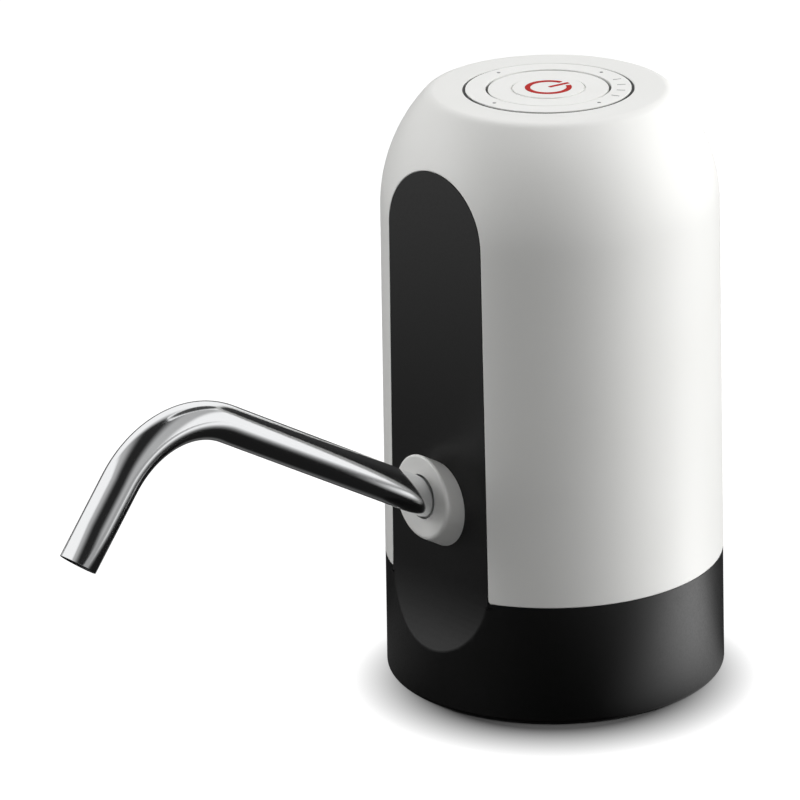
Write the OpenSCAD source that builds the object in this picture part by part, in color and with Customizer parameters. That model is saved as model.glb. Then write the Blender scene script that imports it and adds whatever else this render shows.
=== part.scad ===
// Rechargeable pump that sits on the neck of a large water bottle and fills a glass from its spout.
// The origin is on the body's axis at the foot. +Z is up and the spout points to -Y.

/* [Body] */
// Outside diameter at the foot
body_d = 74; // [73:0.5:82]
// Height from the foot to the flat top
body_h = 130.4; // [129:0.2:133]
// Draft of the side wall in degrees
body_draft = 0.49; // [0:0.01:0.8]
// Wall of the white shell
shell_wall = 2.2; // [1.6:0.1:2.6]
// Height of the shell's lower edge
shell_foot = 26.8; // [25:0.1:28]
// Height of the dome, from the end of the side wall to the flat top
dome_h = 25.5; // [24:0.1:27]
// Rounding between the dome and the flat top
top_edge_r = 3; // [2.4:0.1:5]
// Rounding of the foot
foot_round = 1.1; // [0.5:0.1:1.8]
// Wall of the black base
base_wall = 2.4; // [1.8:0.1:3]
// Height of the spigot that the shell fits over
spigot_h = 6; // [4:0.5:7]

/* [Front panel] */
// Depth of the panel face below the outside of the body at the foot
panel_in = 3.4; // [3:0.1:3.8]
// Draft of the panel face in degrees
panel_draft = 0.24; // [0:0.01:0.4]
// Thickness of the panel
panel_t = 2; // [1.6:0.1:2.2]
// Rounding of the shell's lower corners beside the panel
shell_corner_r = 0.7; // [0.5:0.1:3]
// Height where the scoop below the panel runs out
scoop_z = 13; // [8:0.5:16]
// Radius of the scoop
scoop_r = 46; // [40:1:60]
// Overlap of the panel's rim behind the shell
rim_w = 2.4; // [1.5:0.1:3]

/* [Bottle socket] */
// Bore that takes the bottle neck
neck_d = 56; // [54:0.5:56.5]
// Height of the plain neck bore
neck_bore_h = 12.5; // [10:0.5:13]
// Depth of the socket
socket_depth = 24; // [23:0.1:24.4]
// Wall of the socket
socket_wall = 2.4; // [2:0.1:2.6]
// Ceiling of the socket
ceiling_t = 2.2; // [1.8:0.1:2.6]
// Height of the neck seal
seal_h = 4; // [3:0.5:5]
// Depth of the groove that holds the neck seal
seal_groove = 1.2; // [0.8:0.1:1.4]
// How far the neck seal stands into the socket
seal_lip = 0.6; // [0.3:0.1:1]
// Outside diameter of the hose nipple
nipple_d = 8; // [7:0.2:9]
// Length of the hose nipple
nipple_l = 9; // [7:0.5:10]
// Thickness of the inner deck
deck_t = 2.4; // [2:0.1:2.6]

/* [Spout] */
// Outside diameter of the spout tube
spout_d = 8; // [7:0.1:8.4]
// Wall of the spout tube
spout_wall = 0.6; // [0.4:0.1:1]
// Height where the spout's axis crosses the panel face
spout_z = 45.55; // [45:0.05:47]
// Rise of the spout in degrees
spout_rise = 30.2; // [28:0.1:32]
// Straight run from the panel face to the bend
spout_run = 66.2; // [40:0.2:90]
// Radius of the bend at the middle of the tube
bend_r = 22; // [16:0.5:40]
// Angle of the bend in degrees
bend_turn = 81.4; // [60:0.1:110]
// Straight end after the bend
spout_tip = 18.4; // [8:0.2:30]
// Depth of the spout below the panel face
spout_seat = 12.3; // [11.5:0.1:12.6]
// Outside diameter of the white collar
collar_d = 16.4; // [15.6:0.1:17]
// How far the collar stands out from the panel face
collar_out = 5.1; // [3:0.1:6]
// Hole in the collar's face
collar_hole_d = 8.6; // [8.5:0.1:9]

/* [Button] */
// Diameter of the push button
button_d = 25.6; // [24.6:0.1:25.8]
// Outside diameter of the ring round the button
bezel_d = 35.5; // [34:0.1:37]
// Gap on each side of the ring
ring_gap = 0.4; // [0.3:0.05:0.5]
// Depth of the ring below the flat top
bezel_t = 2.4; // [2.2:0.1:3]
// How far the ring stands above the flat top
bezel_proud = 0.2; // [0:0.05:0.4]
// Thickness of the button's face
cap_t = 1.4; // [1.2:0.1:1.4]
// Travel of the button
button_travel = 0.7; // [0.4:0.1:0.7]
// Diameter of the raised disc in the button
disc_d = 15.2; // [14:0.1:16]
// How far the disc stands above the button's face
disc_proud = 0.15; // [0.05:0.05:0.3]
// Width of the groove round the disc
disc_groove_w = 0.3; // [0.2:0.05:0.5]
// Depth of that groove
disc_groove_depth = 0.4; // [0.2:0.05:0.6]
// Outside diameter of the power sign
icon_d = 9.9; // [8:0.1:10.5]
// Line width of the power sign
icon_line = 1.1; // [0.8:0.1:1.2]
// Half the angle of the power sign's gap
icon_gap = 18; // [12:1:30]
// Turn of the power sign's gap from straight back
icon_turn = -8; // [-20:1:20]
// Height of the switch board's upper face below the flat top
switch_drop = 14.4; // [14.2:0.1:15]

/* [Pump] */
// Teeth on each pump gear
gear_teeth = 12; // [12:2:14]
// Module of the pump gears
gear_module = 0.8; // [0.75:0.01:0.82]
// Pressure angle of the pump gears in degrees
gear_angle = 25; // [25:1:27]
// Width of the pump gears
gear_w = 6; // [5:0.1:6.2]
// Wall round the gear chamber
pump_wall = 2.3; // [2.2:0.1:2.6]
// Thickness of the pump's bottom cover
cover_t = 3; // [2.6:0.1:3.1]
// Thickness of the pump's gasket
gasket_t = 0.4; // [0.3:0.1:0.6]
// Height of the pump head above the gear chamber
head_h = 6.9; // [6.5:0.1:8]
// Outside diameter of the silicone outlet hose
hose_d = 7.5; // [7:0.1:7.6]
// Wall of the silicone outlet hose
hose_wall = 1.2; // [1:0.1:1.3]

/* [Motor and cell] */
// Diameter of the motor
motor_d = 24.2; // [23.6:0.1:24.4]
// Length of the motor
motor_l = 31; // [28:0.5:34]
// Diameter of the motor shaft
shaft_d = 2; // [1.9:0.05:2.1]
// Diameter of the battery cell
cell_d = 18.4; // [18:0.1:18.6]
// Length of the battery cell
cell_l = 65; // [60:0.5:67]
// Space between the motor and the cell
cell_gap = 3; // [2.8:0.1:3.2]

/* [Frame and boards] */
// Wall of the inner frame
frame_t = 2; // [1.6:0.1:2.2]
// Thickness of the frame's spring clips
clip_t = 1.5; // [1.2:0.1:1.6]
// Height of the inner frame above the deck
frame_h = 63.4; // [62:0.2:64]
// Width of the control board
board_w = 30; // [28:0.5:32]
// Height of the control board
board_h = 50; // [48:0.5:52]
// Thickness of the boards
board_t = 1.6; // [1.2:0.1:1.7]
// Length of the board's standoffs
standoff_l = 5.9; // [5.8:0.1:6.2]
// Height of the charging socket above the foot
usb_z = 44; // [42:0.5:46]
// Width of the charging socket
usb_w = 9; // [8.8:0.1:9.2]
// Height of the charging socket's mouth
usb_h = 3.2; // [3:0.1:3.4]

/* [Fits] */
// Clearance between parts that are pushed together
push_gap = 0.05; // [0.02:0.01:0.08]
// Clearance between the panel and the shell's opening
panel_gap = 0.15; // [0.1:0.05:0.3]
// Clearance round a turning shaft
run_gap = 0.03; // [0.02:0.01:0.05]
// Clearance round the spout in its fitting
spout_gap = 0.06; // [0.03:0.01:0.08]
// Room round the charging socket in the shell
usb_room = 0.9; // [0.6:0.1:1.2]
// Clearance round a sliding button part
slide_gap = 0.3; // [0.2:0.05:0.35]
// End clearance of the pump gears
gear_gap = 0.1; // [0.06:0.01:0.12]

/* [Hidden] */
$fn = 96;

// A cut reaches this far past the face that it starts from
over = 1;

// Outer form: a drafted wall that runs tangent into a dome, cut off flat at the top
dome_z = body_h - dome_h;
dome_r = (body_d / 2 - dome_z * tan(body_draft)) * cos(body_draft);
function wall_r(z) = body_d / 2 - z * tan(body_draft);
function skin_r(z, inset = 0) = z < dome_z
  ? wall_r(z) - inset / cos(body_draft)
  : sqrt(pow(dome_r - inset, 2) - pow(z - dome_z, 2));
function arc(x, y, r, from, to, steps) =
  [for (i = [0 : steps]) let (a = from + (to - from) * i / steps) [x + r * cos(a), y + r * sin(a)]];
function skin_outline(inset, z0) =
  let (r = dome_r - inset)
  let (f = max(top_edge_r - inset, 0.2))
  let (fz = body_h - inset - f)
  let (fr = sqrt(pow(r - f, 2) - pow(fz - dome_z, 2)))
  let (turn = atan2(fz - dome_z, fr))
  concat([[0, z0], [skin_r(z0, inset), z0]],
    arc(0, dome_z, r, body_draft, turn, 30),
    arc(fr, fz, f, turn, 90, 8),
    [[0, body_h - inset]]);
module skin_solid(inset, z0) { rotate_extrude() polygon(skin_outline(inset, z0)); }

// Front panel: a drafted flat face that meets the dome in a round arch
panel_out = body_d / 2 - panel_in;
function face_y(z) = panel_out - z * tan(panel_draft);
arch_z = dome_z + face_y(dome_z) * sin(panel_draft);
arch_r = sqrt(pow(dome_r, 2) - pow(face_y(dome_z) * cos(panel_draft), 2));
panel_foot_x = sqrt(pow(wall_r(shell_foot), 2) - pow(face_y(shell_foot), 2));
scoop_depth = wall_r(scoop_z) - face_y(scoop_z);
scoop_low = scoop_z - 4;
scoop_top = scoop_z + sqrt(pow(scoop_r, 2) - pow(scoop_r - scoop_depth, 2));

// Levels of the socket and the deck
neck_r = neck_d / 2;
cup_r = neck_r + socket_wall;
cup_top = socket_depth + ceiling_t;
deck_top = cup_top + deck_t;
nut_h = 2.2;
nut_r = 7.3;
deck_hole_r = nut_r + slide_gap;
flange_r = 6.8;
flange_t = 1.6;
nipple_neck_r = 4.6;
nipple_bore_r = 2.6;
inlet_r = 3.3;
inlet_ring_r = 0.6;

// Spout axis: s runs out along the tube from the panel face
face_at_spout = face_y(spout_z);
spout_r = spout_d / 2;
seam = 0.01;
stub_r = 6.2;
stop_s = -spout_seat - 0.2;
elbow_s = stop_s - 2;
stub_end_s = elbow_s - 2.7;
fitting_nut_t = 2.2;
fitting_nut_r = 8.6;
boss_back = 0.4;
boss_s = -(panel_t + boss_back + fitting_nut_r * sin(spout_rise)) / cos(spout_rise);
seal_section_r = 0.58;
seal_places = [-4.2, -8.2];
gland_r = spout_r + 2 * seal_section_r + 2 * spout_gap;
module on_spout(s = 0) {
  translate([0, -face_at_spout, spout_z]) rotate([90 - spout_rise, 0, 0]) translate([0, 0, s]) children();
}

// Pump: two equal gears side by side along Y, level with the elbow of the outlet fitting
pump_z = spout_z + elbow_s * sin(spout_rise);
hose_y = -face_at_spout - elbow_s * cos(spout_rise);
pitch_r = gear_module * gear_teeth / 2;
tip_r = pitch_r + gear_module;
root_r = pitch_r - 1.25 * gear_module;
backlash = 0.12;
tip_gap = 0.12;
chamber_r = tip_r + tip_gap;
centre_gap = 0.04;
gear_y = pitch_r + centre_gap / 2;
port_x = 3.6;
chamber_floor = pump_z - gear_w / 2 - gear_gap;
chamber_top = pump_z + gear_w / 2 + gear_gap;
head_top = chamber_top + head_h;
cover_bottom = chamber_floor - cover_t;
block_x = chamber_r + pump_wall;
block_y = gear_y + block_x;
port_r = 1.7;
barb_r = hose_d / 2 - hose_wall - push_gap;
barb_l = 5.4;
hose_bend_x = port_x + block_x + barb_l;
fitting_barb_x = hose_bend_x - 4;
pump_boss_r = 5.9;
pump_screw_r = 1;
pump_screw_x = block_x - 1.7;
pump_screw_y = block_y - 1.7;
foot_r = 2.8;
foot_y = gear_y + 5.3;
shaft_seal_r = 3.1;
shaft_seal_h = 3;
idler_pin_l = gear_w + 5;

// Motor over the drive gear, cell beside it, frame behind both
motor_x = port_x;
motor_y = gear_y;
motor_r = motor_d / 2;
motor_top = head_top + motor_l;
end_cap_t = 3;
can_t = 1;
bush_r = 2.5;
bush_l = 2.6;
bush_boss_t = 1.2;
magnet_t = 1.35;
magnet_room = 5;
core_room = 6;
commutator_r = 2.6;
commutator_l = 4;
air_gap = 0.5;
cell_r = cell_d / 2;
frame_y = motor_y + motor_r + 0.2;
cell_x = motor_x - motor_r - cell_gap - cell_r;
cell_y = frame_y - 0.2 - cell_r;
pad_t = 1;
nub_h = 0.8;
cell_bottom = deck_top + pad_t;
clip_gap = 0.1;
clip_h = 7.2;
standoff_r = 2.4;
frame_foot_r = 3;
frame_foot = [11.3, frame_y + frame_t + 2.6];
frame_foot_h = 5.4;
frame_x = [cell_x - 3, motor_x + motor_r + 1];

// Boards
board_y = frame_y + frame_t + standoff_l;
board_back = board_y + board_t;
board_z = deck_top + frame_foot_h + 2;
board_hole_side = 4;
board_hole_low = 22;
board_hole_high = 6;
board_holes_x = board_w / 2 - board_hole_side;
board_holes_z = [board_z + board_hole_low, board_z + board_h - board_hole_high];
usb_mouth = skin_r(usb_z) - 1.3;
led_x = 8.5;
lens_r = 1.1;
lens_end = sqrt(pow(skin_r(usb_z), 2) - pow(led_x, 2)) - 0.2;
led_h = 0.9;
// Each chip's corner on the board and its size
chips = [[[-9, 0, 27], [7, 1.2, 7]], [[2, 0, 27], [6, 2.6, 6]], [[-4, 0, 38], [8, 1.6, 4]]];
capacitor_at = [6, 0, 20];
capacitor_r = 2;
capacitor_h = 2.2;

// Button and switch, measured down from the flat top
button_r = button_d / 2;
bezel_r = bezel_d / 2;
ledge_z = body_h - bezel_t;
top_boss_h = 4;
top_boss_t = 2.8;
top_boss_z = ledge_z - top_boss_h;
skirt_r = 10.6;
skirt_t = 1.4;
hook_out = 1.1;
hook_h = 1.4;
hook_rest = 0.4;
skirt_end = top_boss_z - hook_rest - hook_h;
switch_top = body_h - switch_drop;
switch_board_r = 16;
post_place = 13.3;
post_r = 2.2;
post_turns = [90, 210, 330];
hook_turns = [30, 150, 270];
switch_side = 6;
switch_h = 3.5;
plunger_r = 1.75;
plunger_out = 1.5;
stem_r = 2;
plunger_room = 0.15;
disc_top = body_h + disc_proud;
disc_foot = body_h - disc_groove_depth;
icon_t = 0.5;
icon_proud = 0.05;

// Screws: shank radius, head radius, head height
base_screw = [1.5, 2.7, 1.8];
board_screw = [1, 1.9, 1.4];
switch_screw = [0.8, 1.7, 1.2];
pump_screw = [pump_screw_r, 1.8, 1.6];
tip_room = 0.4;
base_screw_l = 9.5;
board_screw_l = 6;
switch_screw_l = 6;
pump_screw_bite = 7;
pump_screw_l = cover_t + pump_screw_bite;
base_screw_places = [[port_x, foot_y], [port_x, -foot_y], frame_foot, [-frame_foot[0], frame_foot[1]]];

// Wire routes: points chosen by hand beside what they pass, from a terminal to the board's upper edge
lead_d = 1.5;
lead_gap = 0.25;
lead_y = board_y + board_t / 2;
lead_end = board_z + board_h + lead_gap;
lead_start = switch_top - board_t - lead_gap;
lead_mid = (lead_start + lead_end) / 2;
cell_top = cell_bottom + cell_l;
frame_top = deck_top + frame_h;
tab_h = 3;
tab_w = 2.4;
tab_t = 0.6;
tab_places = [motor_x - 5, motor_x + 5];
tab_y = motor_y + 4;
battery_routes = [
  [[cell_x, cell_y, cell_top + nub_h + lead_gap], [cell_x, cell_y, cell_top + 4], [-18, 13, cell_top + 7.4],
    [-13, 20, cell_top + 6.9], [-10, lead_y, lead_end + 9.8], [-10, lead_y, lead_end + 4.8],
    [-10, lead_y, lead_end]],
  [[cell_x - 5, cell_y, cell_top + lead_gap], [cell_x - 5, cell_y, cell_top + 5], [-22, 14, cell_top + 10.9],
    [-15, 21, cell_top + 10.4], [-6.5, lead_y, lead_end + 11.8], [-6.5, lead_y, lead_end + 4.8],
    [-6.5, lead_y, lead_end]]];
motor_routes = [
  [[tab_places[0], tab_y, motor_top + tab_h + lead_gap], [tab_places[0], tab_y, motor_top + 7],
    [-1, 14.5, frame_top + 4], [0, 20.5, frame_top + 4.5], [0, lead_y, lead_end + 6.8],
    [0, lead_y, lead_end + 3.8], [0, lead_y, lead_end]],
  [[tab_places[1], tab_y, motor_top + tab_h + lead_gap], [tab_places[1], tab_y, motor_top + 7],
    [7, 14.5, frame_top + 4], [5, 20.5, frame_top + 4.5], [3.5, lead_y, lead_end + 6.8],
    [3.5, lead_y, lead_end + 3.8], [3.5, lead_y, lead_end]]];
switch_routes = [
  [[6.5, 10, lead_start], [6.5, 10, lead_start - 4.2], [7.5, 17, lead_mid + 3.8], [8.5, 23, lead_mid - 0.7],
    [9, lead_y, lead_end + 7.8], [9, lead_y, lead_end + 3.8], [9, lead_y, lead_end]],
  [[9.5, 8, lead_start], [9.5, 8, lead_start - 4.2], [10.5, 16, lead_mid + 3.8], [11.5, 23, lead_mid - 0.7],
    [12, lead_y, lead_end + 7.8], [12, lead_y, lead_end + 3.8], [12, lead_y, lead_end]]];

// A round tube swept along smoothed points, one closed solid
function unit(v) = v / norm(v);
function spline(a, b, c, d, t) = 0.5 * (2 * b + (c - a) * t + (2 * a - 5 * b + 4 * c - d) * t * t
  + (3 * b - a - 3 * c + d) * t * t * t);
function smooth(p, steps) =
  let (n = len(p))
  concat([for (i = [0 : n - 2]) for (k = [0 : steps - 1])
    spline(p[max(i - 1, 0)], p[i], p[i + 1], p[min(i + 2, n - 1)], k / steps)], [p[n - 1]]);
function tangent(p, i) = unit(p[min(i + 1, len(p) - 1)] - p[max(i - 1, 0)]);
function carried(p, i, side) = i == len(p) ? [] :
  let (t = tangent(p, i))
  let (s = unit(side - (side * t) * t))
  concat([s], carried(p, i + 1, s));
module lead(route) {
  sides = 8;
  path = smooth(route, 3);
  side = carried(path, 0, [1, 0, 0]);
  count = len(path);
  points = [for (i = [0 : count - 1]) let (up = cross(tangent(path, i), side[i])) for (k = [0 : sides - 1])
    path[i] + lead_d / 2 * (cos(360 * k / sides) * side[i] + sin(360 * k / sides) * up)];
  walls = [for (i = [0 : count - 2]) for (k = [0 : sides - 1])
    let (a = i * sides, b = a + sides, n = (k + 1) % sides)
    each [[a + k, b + k, b + n], [a + k, b + n, a + n]]];
  first = [for (k = [1 : sides - 2]) [0, k, k + 1]];
  last = [for (k = [1 : sides - 2]) let (b = (count - 1) * sides) [b, b + k + 1, b + k]];
  polyhedron(points, concat(walls, first, last));
}

// Plain helpers
module ring(r_out, r_in, h) {
  difference() {
    cylinder(r = r_out, h = h);
    translate([0, 0, -over]) cylinder(r = r_in, h = h + 2 * over);
  }
}
module block(x, y, z) { translate([x[0], y[0], z[0]]) cube([x[1] - x[0], y[1] - y[0], z[1] - z[0]]); }
module slot_2d(w, h) {
  square([w - h, h], center = true);
  for (side = [-1, 1]) translate([side * (w - h) / 2, 0]) circle(d = h);
}
module screw(kind, l) {
  cylinder(r = kind[0], h = l);
  difference() {
    translate([0, 0, -kind[2]]) cylinder(r = kind[1], h = kind[2]);
    for (turn = [0, 90]) rotate(turn) translate([0, 0, -kind[2]])
      cube([kind[1] * 1.2, kind[1] * 0.28, kind[2]], center = true);
  }
}
// Turns what is drawn upwards so that it points to +Y
module to_back() { rotate([-90, 0, 0]) children(); }
// Extrudes an outline of [y, z] points across the whole width
module across(points, half_width) {
  rotate([90, 0, 90]) translate([0, 0, -half_width]) linear_extrude(2 * half_width) polygon(points);
}

// Outline of the arched front opening, seen from the front as [x, z]; gap draws it in
function arch_outline(gap, foot, corner) =
  let (x = panel_foot_x - gap)
  let (top = arc(0, arch_z, arch_r - gap, 0, 180, 48))
  concat(
    corner > 0 ? arc(x + corner, foot + corner, corner, 270, 180, 6) : [[x, foot]],
    top,
    corner > 0 ? arc(-x - corner, foot + corner, corner, 0, -90, 6) : [[-x, foot]]);
module arch_prism(gap, foot, corner, y0, y1) {
  corner_foot = foot - over;
  translate([0, y1, 0]) rotate([90, 0, 0]) linear_extrude(y1 - y0)
    polygon(concat([[panel_foot_x - gap + corner, corner_foot]], arch_outline(gap, foot, corner),
      [[-panel_foot_x + gap - corner, corner_foot]]));
}

// Everything in front of the panel face, with the scoop that runs out on the base
module in_front_of_panel(gap = 0) {
  scoop_steps = 14;
  across(concat([[-body_d, body_h], [-face_y(body_h) + gap, body_h], [-face_y(scoop_top) + gap, scoop_top]],
    [for (i = [1 : scoop_steps]) let (z = scoop_top - (scoop_top - scoop_low) * i / scoop_steps)
      [-face_y(scoop_top) - scoop_r + sqrt(pow(scoop_r, 2) - pow(scoop_top - z, 2)) + gap, z]],
    [[-body_d, scoop_low]]), body_d);
}

// White domed shell
module outer_shell() {
  color("white") difference() {
    union() {
      difference() {
        skin_solid(0, shell_foot);
        skin_solid(shell_wall, shell_foot - over);
      }
      translate([0, 0, top_boss_z]) cylinder(r = bezel_r + top_boss_t, h = top_boss_h + over);
      for (turn = post_turns) rotate(turn) translate([post_place, 0, switch_top])
        cylinder(r = post_r, h = top_boss_z - switch_top + over);
    }
    arch_prism(0, shell_foot, shell_corner_r, -body_d, 0);
    translate([0, 0, ledge_z]) cylinder(r = bezel_r + ring_gap, h = bezel_t + over);
    translate([0, 0, top_boss_z - over]) cylinder(r = skirt_r + slide_gap, h = top_boss_h + 2 * over);
    for (turn = post_turns) rotate(turn) translate([post_place, 0, switch_top - over])
      cylinder(r = switch_screw[0] + push_gap, h = switch_screw_l - board_t + over + tip_room);
    translate([0, skin_r(usb_z, shell_wall) - 2, usb_z]) to_back()
      linear_extrude(shell_wall + 4) slot_2d(usb_w + 2 * usb_room, usb_h + 2 * usb_room);
    translate([led_x, board_back, usb_z]) to_back() cylinder(r = lens_r + push_gap, h = body_d / 2);
  }
}

// Black base: skirt, deck, spigot and front panel in one moulding
function base_outline() =
  let (in_r = cup_r + push_gap)
  let (spigot_r = skin_r(shell_foot, shell_wall) - panel_gap)
  let (spigot_top_r = skin_r(shell_foot + spigot_h, shell_wall) - panel_gap)
  concat([[in_r, 0]],
    arc(wall_r(foot_round) - foot_round, foot_round, foot_round, -90, 0, 6),
    [[wall_r(shell_foot), shell_foot], [spigot_r, shell_foot], [spigot_top_r, shell_foot + spigot_h],
      [spigot_top_r - base_wall, shell_foot + spigot_h], [spigot_top_r - base_wall, deck_top],
      [deck_hole_r, deck_top], [deck_hole_r, cup_top], [wall_r(cup_top) - base_wall, cup_top],
      [wall_r(0) - base_wall, base_wall], [in_r, base_wall]]);
module base_body() {
  back = panel_out - panel_t;
  color("#161616") difference() {
    union() {
      rotate_extrude() polygon(base_outline());
      intersection() {
        skin_solid(base_wall / 2, base_wall / 2);
        block([-panel_foot_x - 2, panel_foot_x + 2], [-body_d, -face_y(0) + panel_t],
          [base_wall / 2, shell_foot - over / 2]);
      }
      difference() {
        arch_prism(panel_gap, shell_foot, 0, -face_y(0) - over, -back);
        translate([-body_d, -body_d, 0]) cube([2 * body_d, 2 * body_d, shell_foot - over]);
      }
      intersection() {
        skin_solid(shell_wall + 2 * panel_gap, shell_foot);
        difference() {
          block([-panel_foot_x - rim_w, panel_foot_x + rim_w], [-back - over, -back + panel_t],
            [shell_foot + over, arch_z + arch_r + rim_w / 2]);
          arch_prism(rim_w, shell_foot, 0, -body_d, 0);
        }
      }
      difference() {
        on_spout(boss_s) cylinder(r = fitting_nut_r, h = -boss_s + collar_out);
        in_front_of_panel();
      }
    }
    in_front_of_panel();
    on_spout(stub_end_s - over) cylinder(r = stub_r + push_gap, h = -2 * stub_end_s);
    for (p = base_screw_places) translate([p[0], p[1], cup_top - over])
      cylinder(r = base_screw[0] + push_gap, h = deck_t + 2 * over);
  }
}

// Socket that takes the bottle neck
module socket_cup() {
  groove_top = neck_bore_h + seal_h;
  color("#1c1c1c") difference() {
    rotate_extrude() polygon([[neck_r, 0], [cup_r, 0], [cup_r, cup_top], [nipple_neck_r + push_gap, cup_top],
      [nipple_neck_r + push_gap, socket_depth], [neck_r, socket_depth], [neck_r, groove_top],
      [neck_r + seal_groove, groove_top], [neck_r + seal_groove, neck_bore_h], [neck_r, neck_bore_h]]);
    for (p = base_screw_places) translate([p[0], p[1], socket_depth - over])
      cylinder(r = base_screw[0] + push_gap, h = ceiling_t + 2 * over);
  }
}

// Silicone ring that grips the bottle neck
module neck_seal() {
  mid = neck_bore_h + seal_h / 2;
  half = seal_h / 2 - push_gap;
  color("#d8dad6") rotate_extrude() polygon([
    [neck_r + seal_groove - push_gap, mid - half], [neck_r + seal_groove - push_gap, mid + half],
    [neck_r + push_gap, mid + half], [neck_r - seal_lip, mid + half / 3],
    [neck_r - seal_lip, mid - half / 3], [neck_r + push_gap, mid - half]]);
}

// Nipple for the bottle hose: it passes the socket's ceiling and plugs into the pump cover
module hose_nipple() {
  tip = socket_depth - flange_t - nipple_l;
  inlet_top = cover_bottom + cover_t / 2;
  color("#202020") rotate_extrude() polygon([[nipple_bore_r, tip], [nipple_d / 2, tip],
    [nipple_d / 2, socket_depth - flange_t], [flange_r, socket_depth - flange_t], [flange_r, socket_depth],
    [nipple_neck_r, socket_depth], [nipple_neck_r, cup_top + nut_h], [inlet_r, cup_top + nut_h],
    [inlet_r, inlet_top], [nipple_bore_r, inlet_top]]);
}

// Nut that clamps the nipple to the socket's ceiling
module nipple_nut() {
  color("#2a2a2a") translate([0, 0, cup_top]) difference() {
    cylinder(r = nut_r, h = nut_h, $fn = 6);
    translate([0, 0, -over]) cylinder(r = nipple_neck_r + push_gap, h = nut_h + 2 * over);
  }
}

// Screws that hold the socket, the pump and the frame together from below
module base_screws() {
  color("#b0b2b4") for (p = base_screw_places) translate([p[0], p[1], socket_depth])
    screw(base_screw, base_screw_l);
}

// Bent stainless steel spout; a hair-wide band closes the seam between the bend and the straight end
module spout_rod(r, more = 0) {
  translate([0, 0, -spout_seat - more]) cylinder(r = r, h = spout_seat + spout_run + more);
  translate([0, -bend_r, spout_run]) {
    rotate([90, 0, 90]) rotate_extrude(angle = bend_turn) translate([bend_r, 0]) circle(r = r);
    rotate([bend_turn, 0, 0]) translate([0, bend_r, 0]) {
      cylinder(r = r, h = spout_tip + more);
      translate([0, 0, -10 * seam]) cylinder(r = r + seam, h = 20 * seam);
    }
  }
}
module spout_tube() {
  color("#c9cbcd") on_spout() difference() {
    spout_rod(spout_r);
    spout_rod(spout_r - spout_wall, over);
  }
}

// White collar with the stub, the seal glands and the hose elbow behind the panel
module outlet_fitting() {
  collar_face = face_at_spout + collar_out;
  stub_face = face_at_spout + collar_out * 0.75;
  reach = collar_d;
  low = spout_z - reach;
  high = spout_z + reach;
  color("#f2f2f0") difference() {
    union() {
      intersection() {
        on_spout(-collar_d) cylinder(r = collar_d / 2, h = 3 * collar_d);
        across([[-face_y(low), low], [-face_y(high), high], [-collar_face, high], [-collar_face, low]],
          collar_d);
      }
      difference() {
        on_spout(stub_end_s) cylinder(r = stub_r, h = -stub_end_s + collar_out);
        across([[-stub_face, low], [-stub_face, high], [-stub_face - reach, high], [-stub_face - reach, low]],
          collar_d);
      }
      translate([0, hose_y, pump_z]) rotate([0, 90, 0]) cylinder(r = barb_r, h = fitting_barb_x);
    }
    on_spout(stop_s) cylinder(r = spout_r + spout_gap, h = 3 * collar_d);
    on_spout(0) cylinder(d = collar_hole_d, h = 2 * collar_d);
    for (s = seal_places) on_spout(s - seal_section_r - 2 * spout_gap)
      cylinder(r = gland_r, h = 2 * seal_section_r + 4 * spout_gap);
    on_spout(stop_s - 3) cylinder(r = spout_r - 1, h = 4);
    translate([0, hose_y, pump_z]) rotate([0, 90, 0]) cylinder(r = port_r, h = fitting_barb_x + over);
  }
}

// Two O-rings that grip the spout
module spout_seals() {
  color("#3a3a3a") for (s = seal_places) on_spout(s)
    rotate_extrude() translate([spout_r + spout_gap + seal_section_r, 0])
      circle(r = seal_section_r, $fn = 32);
}

// Nut that holds the fitting to the back of the panel
module fitting_nut() {
  color("#2a2a2a") on_spout(boss_s - fitting_nut_t) difference() {
    cylinder(r = fitting_nut_r, h = fitting_nut_t, $fn = 6);
    translate([0, 0, -over]) cylinder(r = stub_r + push_gap, h = fitting_nut_t + 2 * over);
  }
}

// Silicone hose in a half circle from the pump to the fitting's elbow
module outlet_hose() {
  hose_r = hose_d / 2;
  bore_r = hose_r - hose_wall;
  pump_end = port_x + block_x + 0.2;
  fitting_end = stub_r + 0.4;
  turn_r = -hose_y / 2;
  color("#e4e6e2") {
    translate([pump_end, 0, pump_z]) rotate([0, 90, 0])
      ring(hose_r, bore_r, hose_bend_x - pump_end);
    translate([fitting_end, hose_y, pump_z]) rotate([0, 90, 0])
      ring(hose_r, bore_r, hose_bend_x - fitting_end);
    translate([hose_bend_x, hose_y / 2, pump_z]) rotate(-90) rotate_extrude(angle = 180)
      translate([turn_r, 0]) difference() {
        circle(r = hose_r);
        circle(r = bore_r);
      }
  }
}

// Outline of the pump block
module pump_plan() { translate([port_x, 0]) square([2 * block_x, 2 * block_y], center = true); }
module pump_screw_holes(z, h) {
  for (x = [-1, 1], y = [-1, 1]) translate([port_x + x * pump_screw_x, y * pump_screw_y, z])
    cylinder(r = pump_screw_r + push_gap, h = h);
}
// Figure-eight chamber with the inlet and outlet pockets beside the mesh
module chamber(z, h) {
  for (side = [-1, 1]) {
    translate([port_x, side * gear_y, z]) cylinder(r = chamber_r, h = h);
    translate([port_x + side * port_x, 0, z]) cylinder(r = port_r + 0.2, h = h);
  }
}

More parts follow.
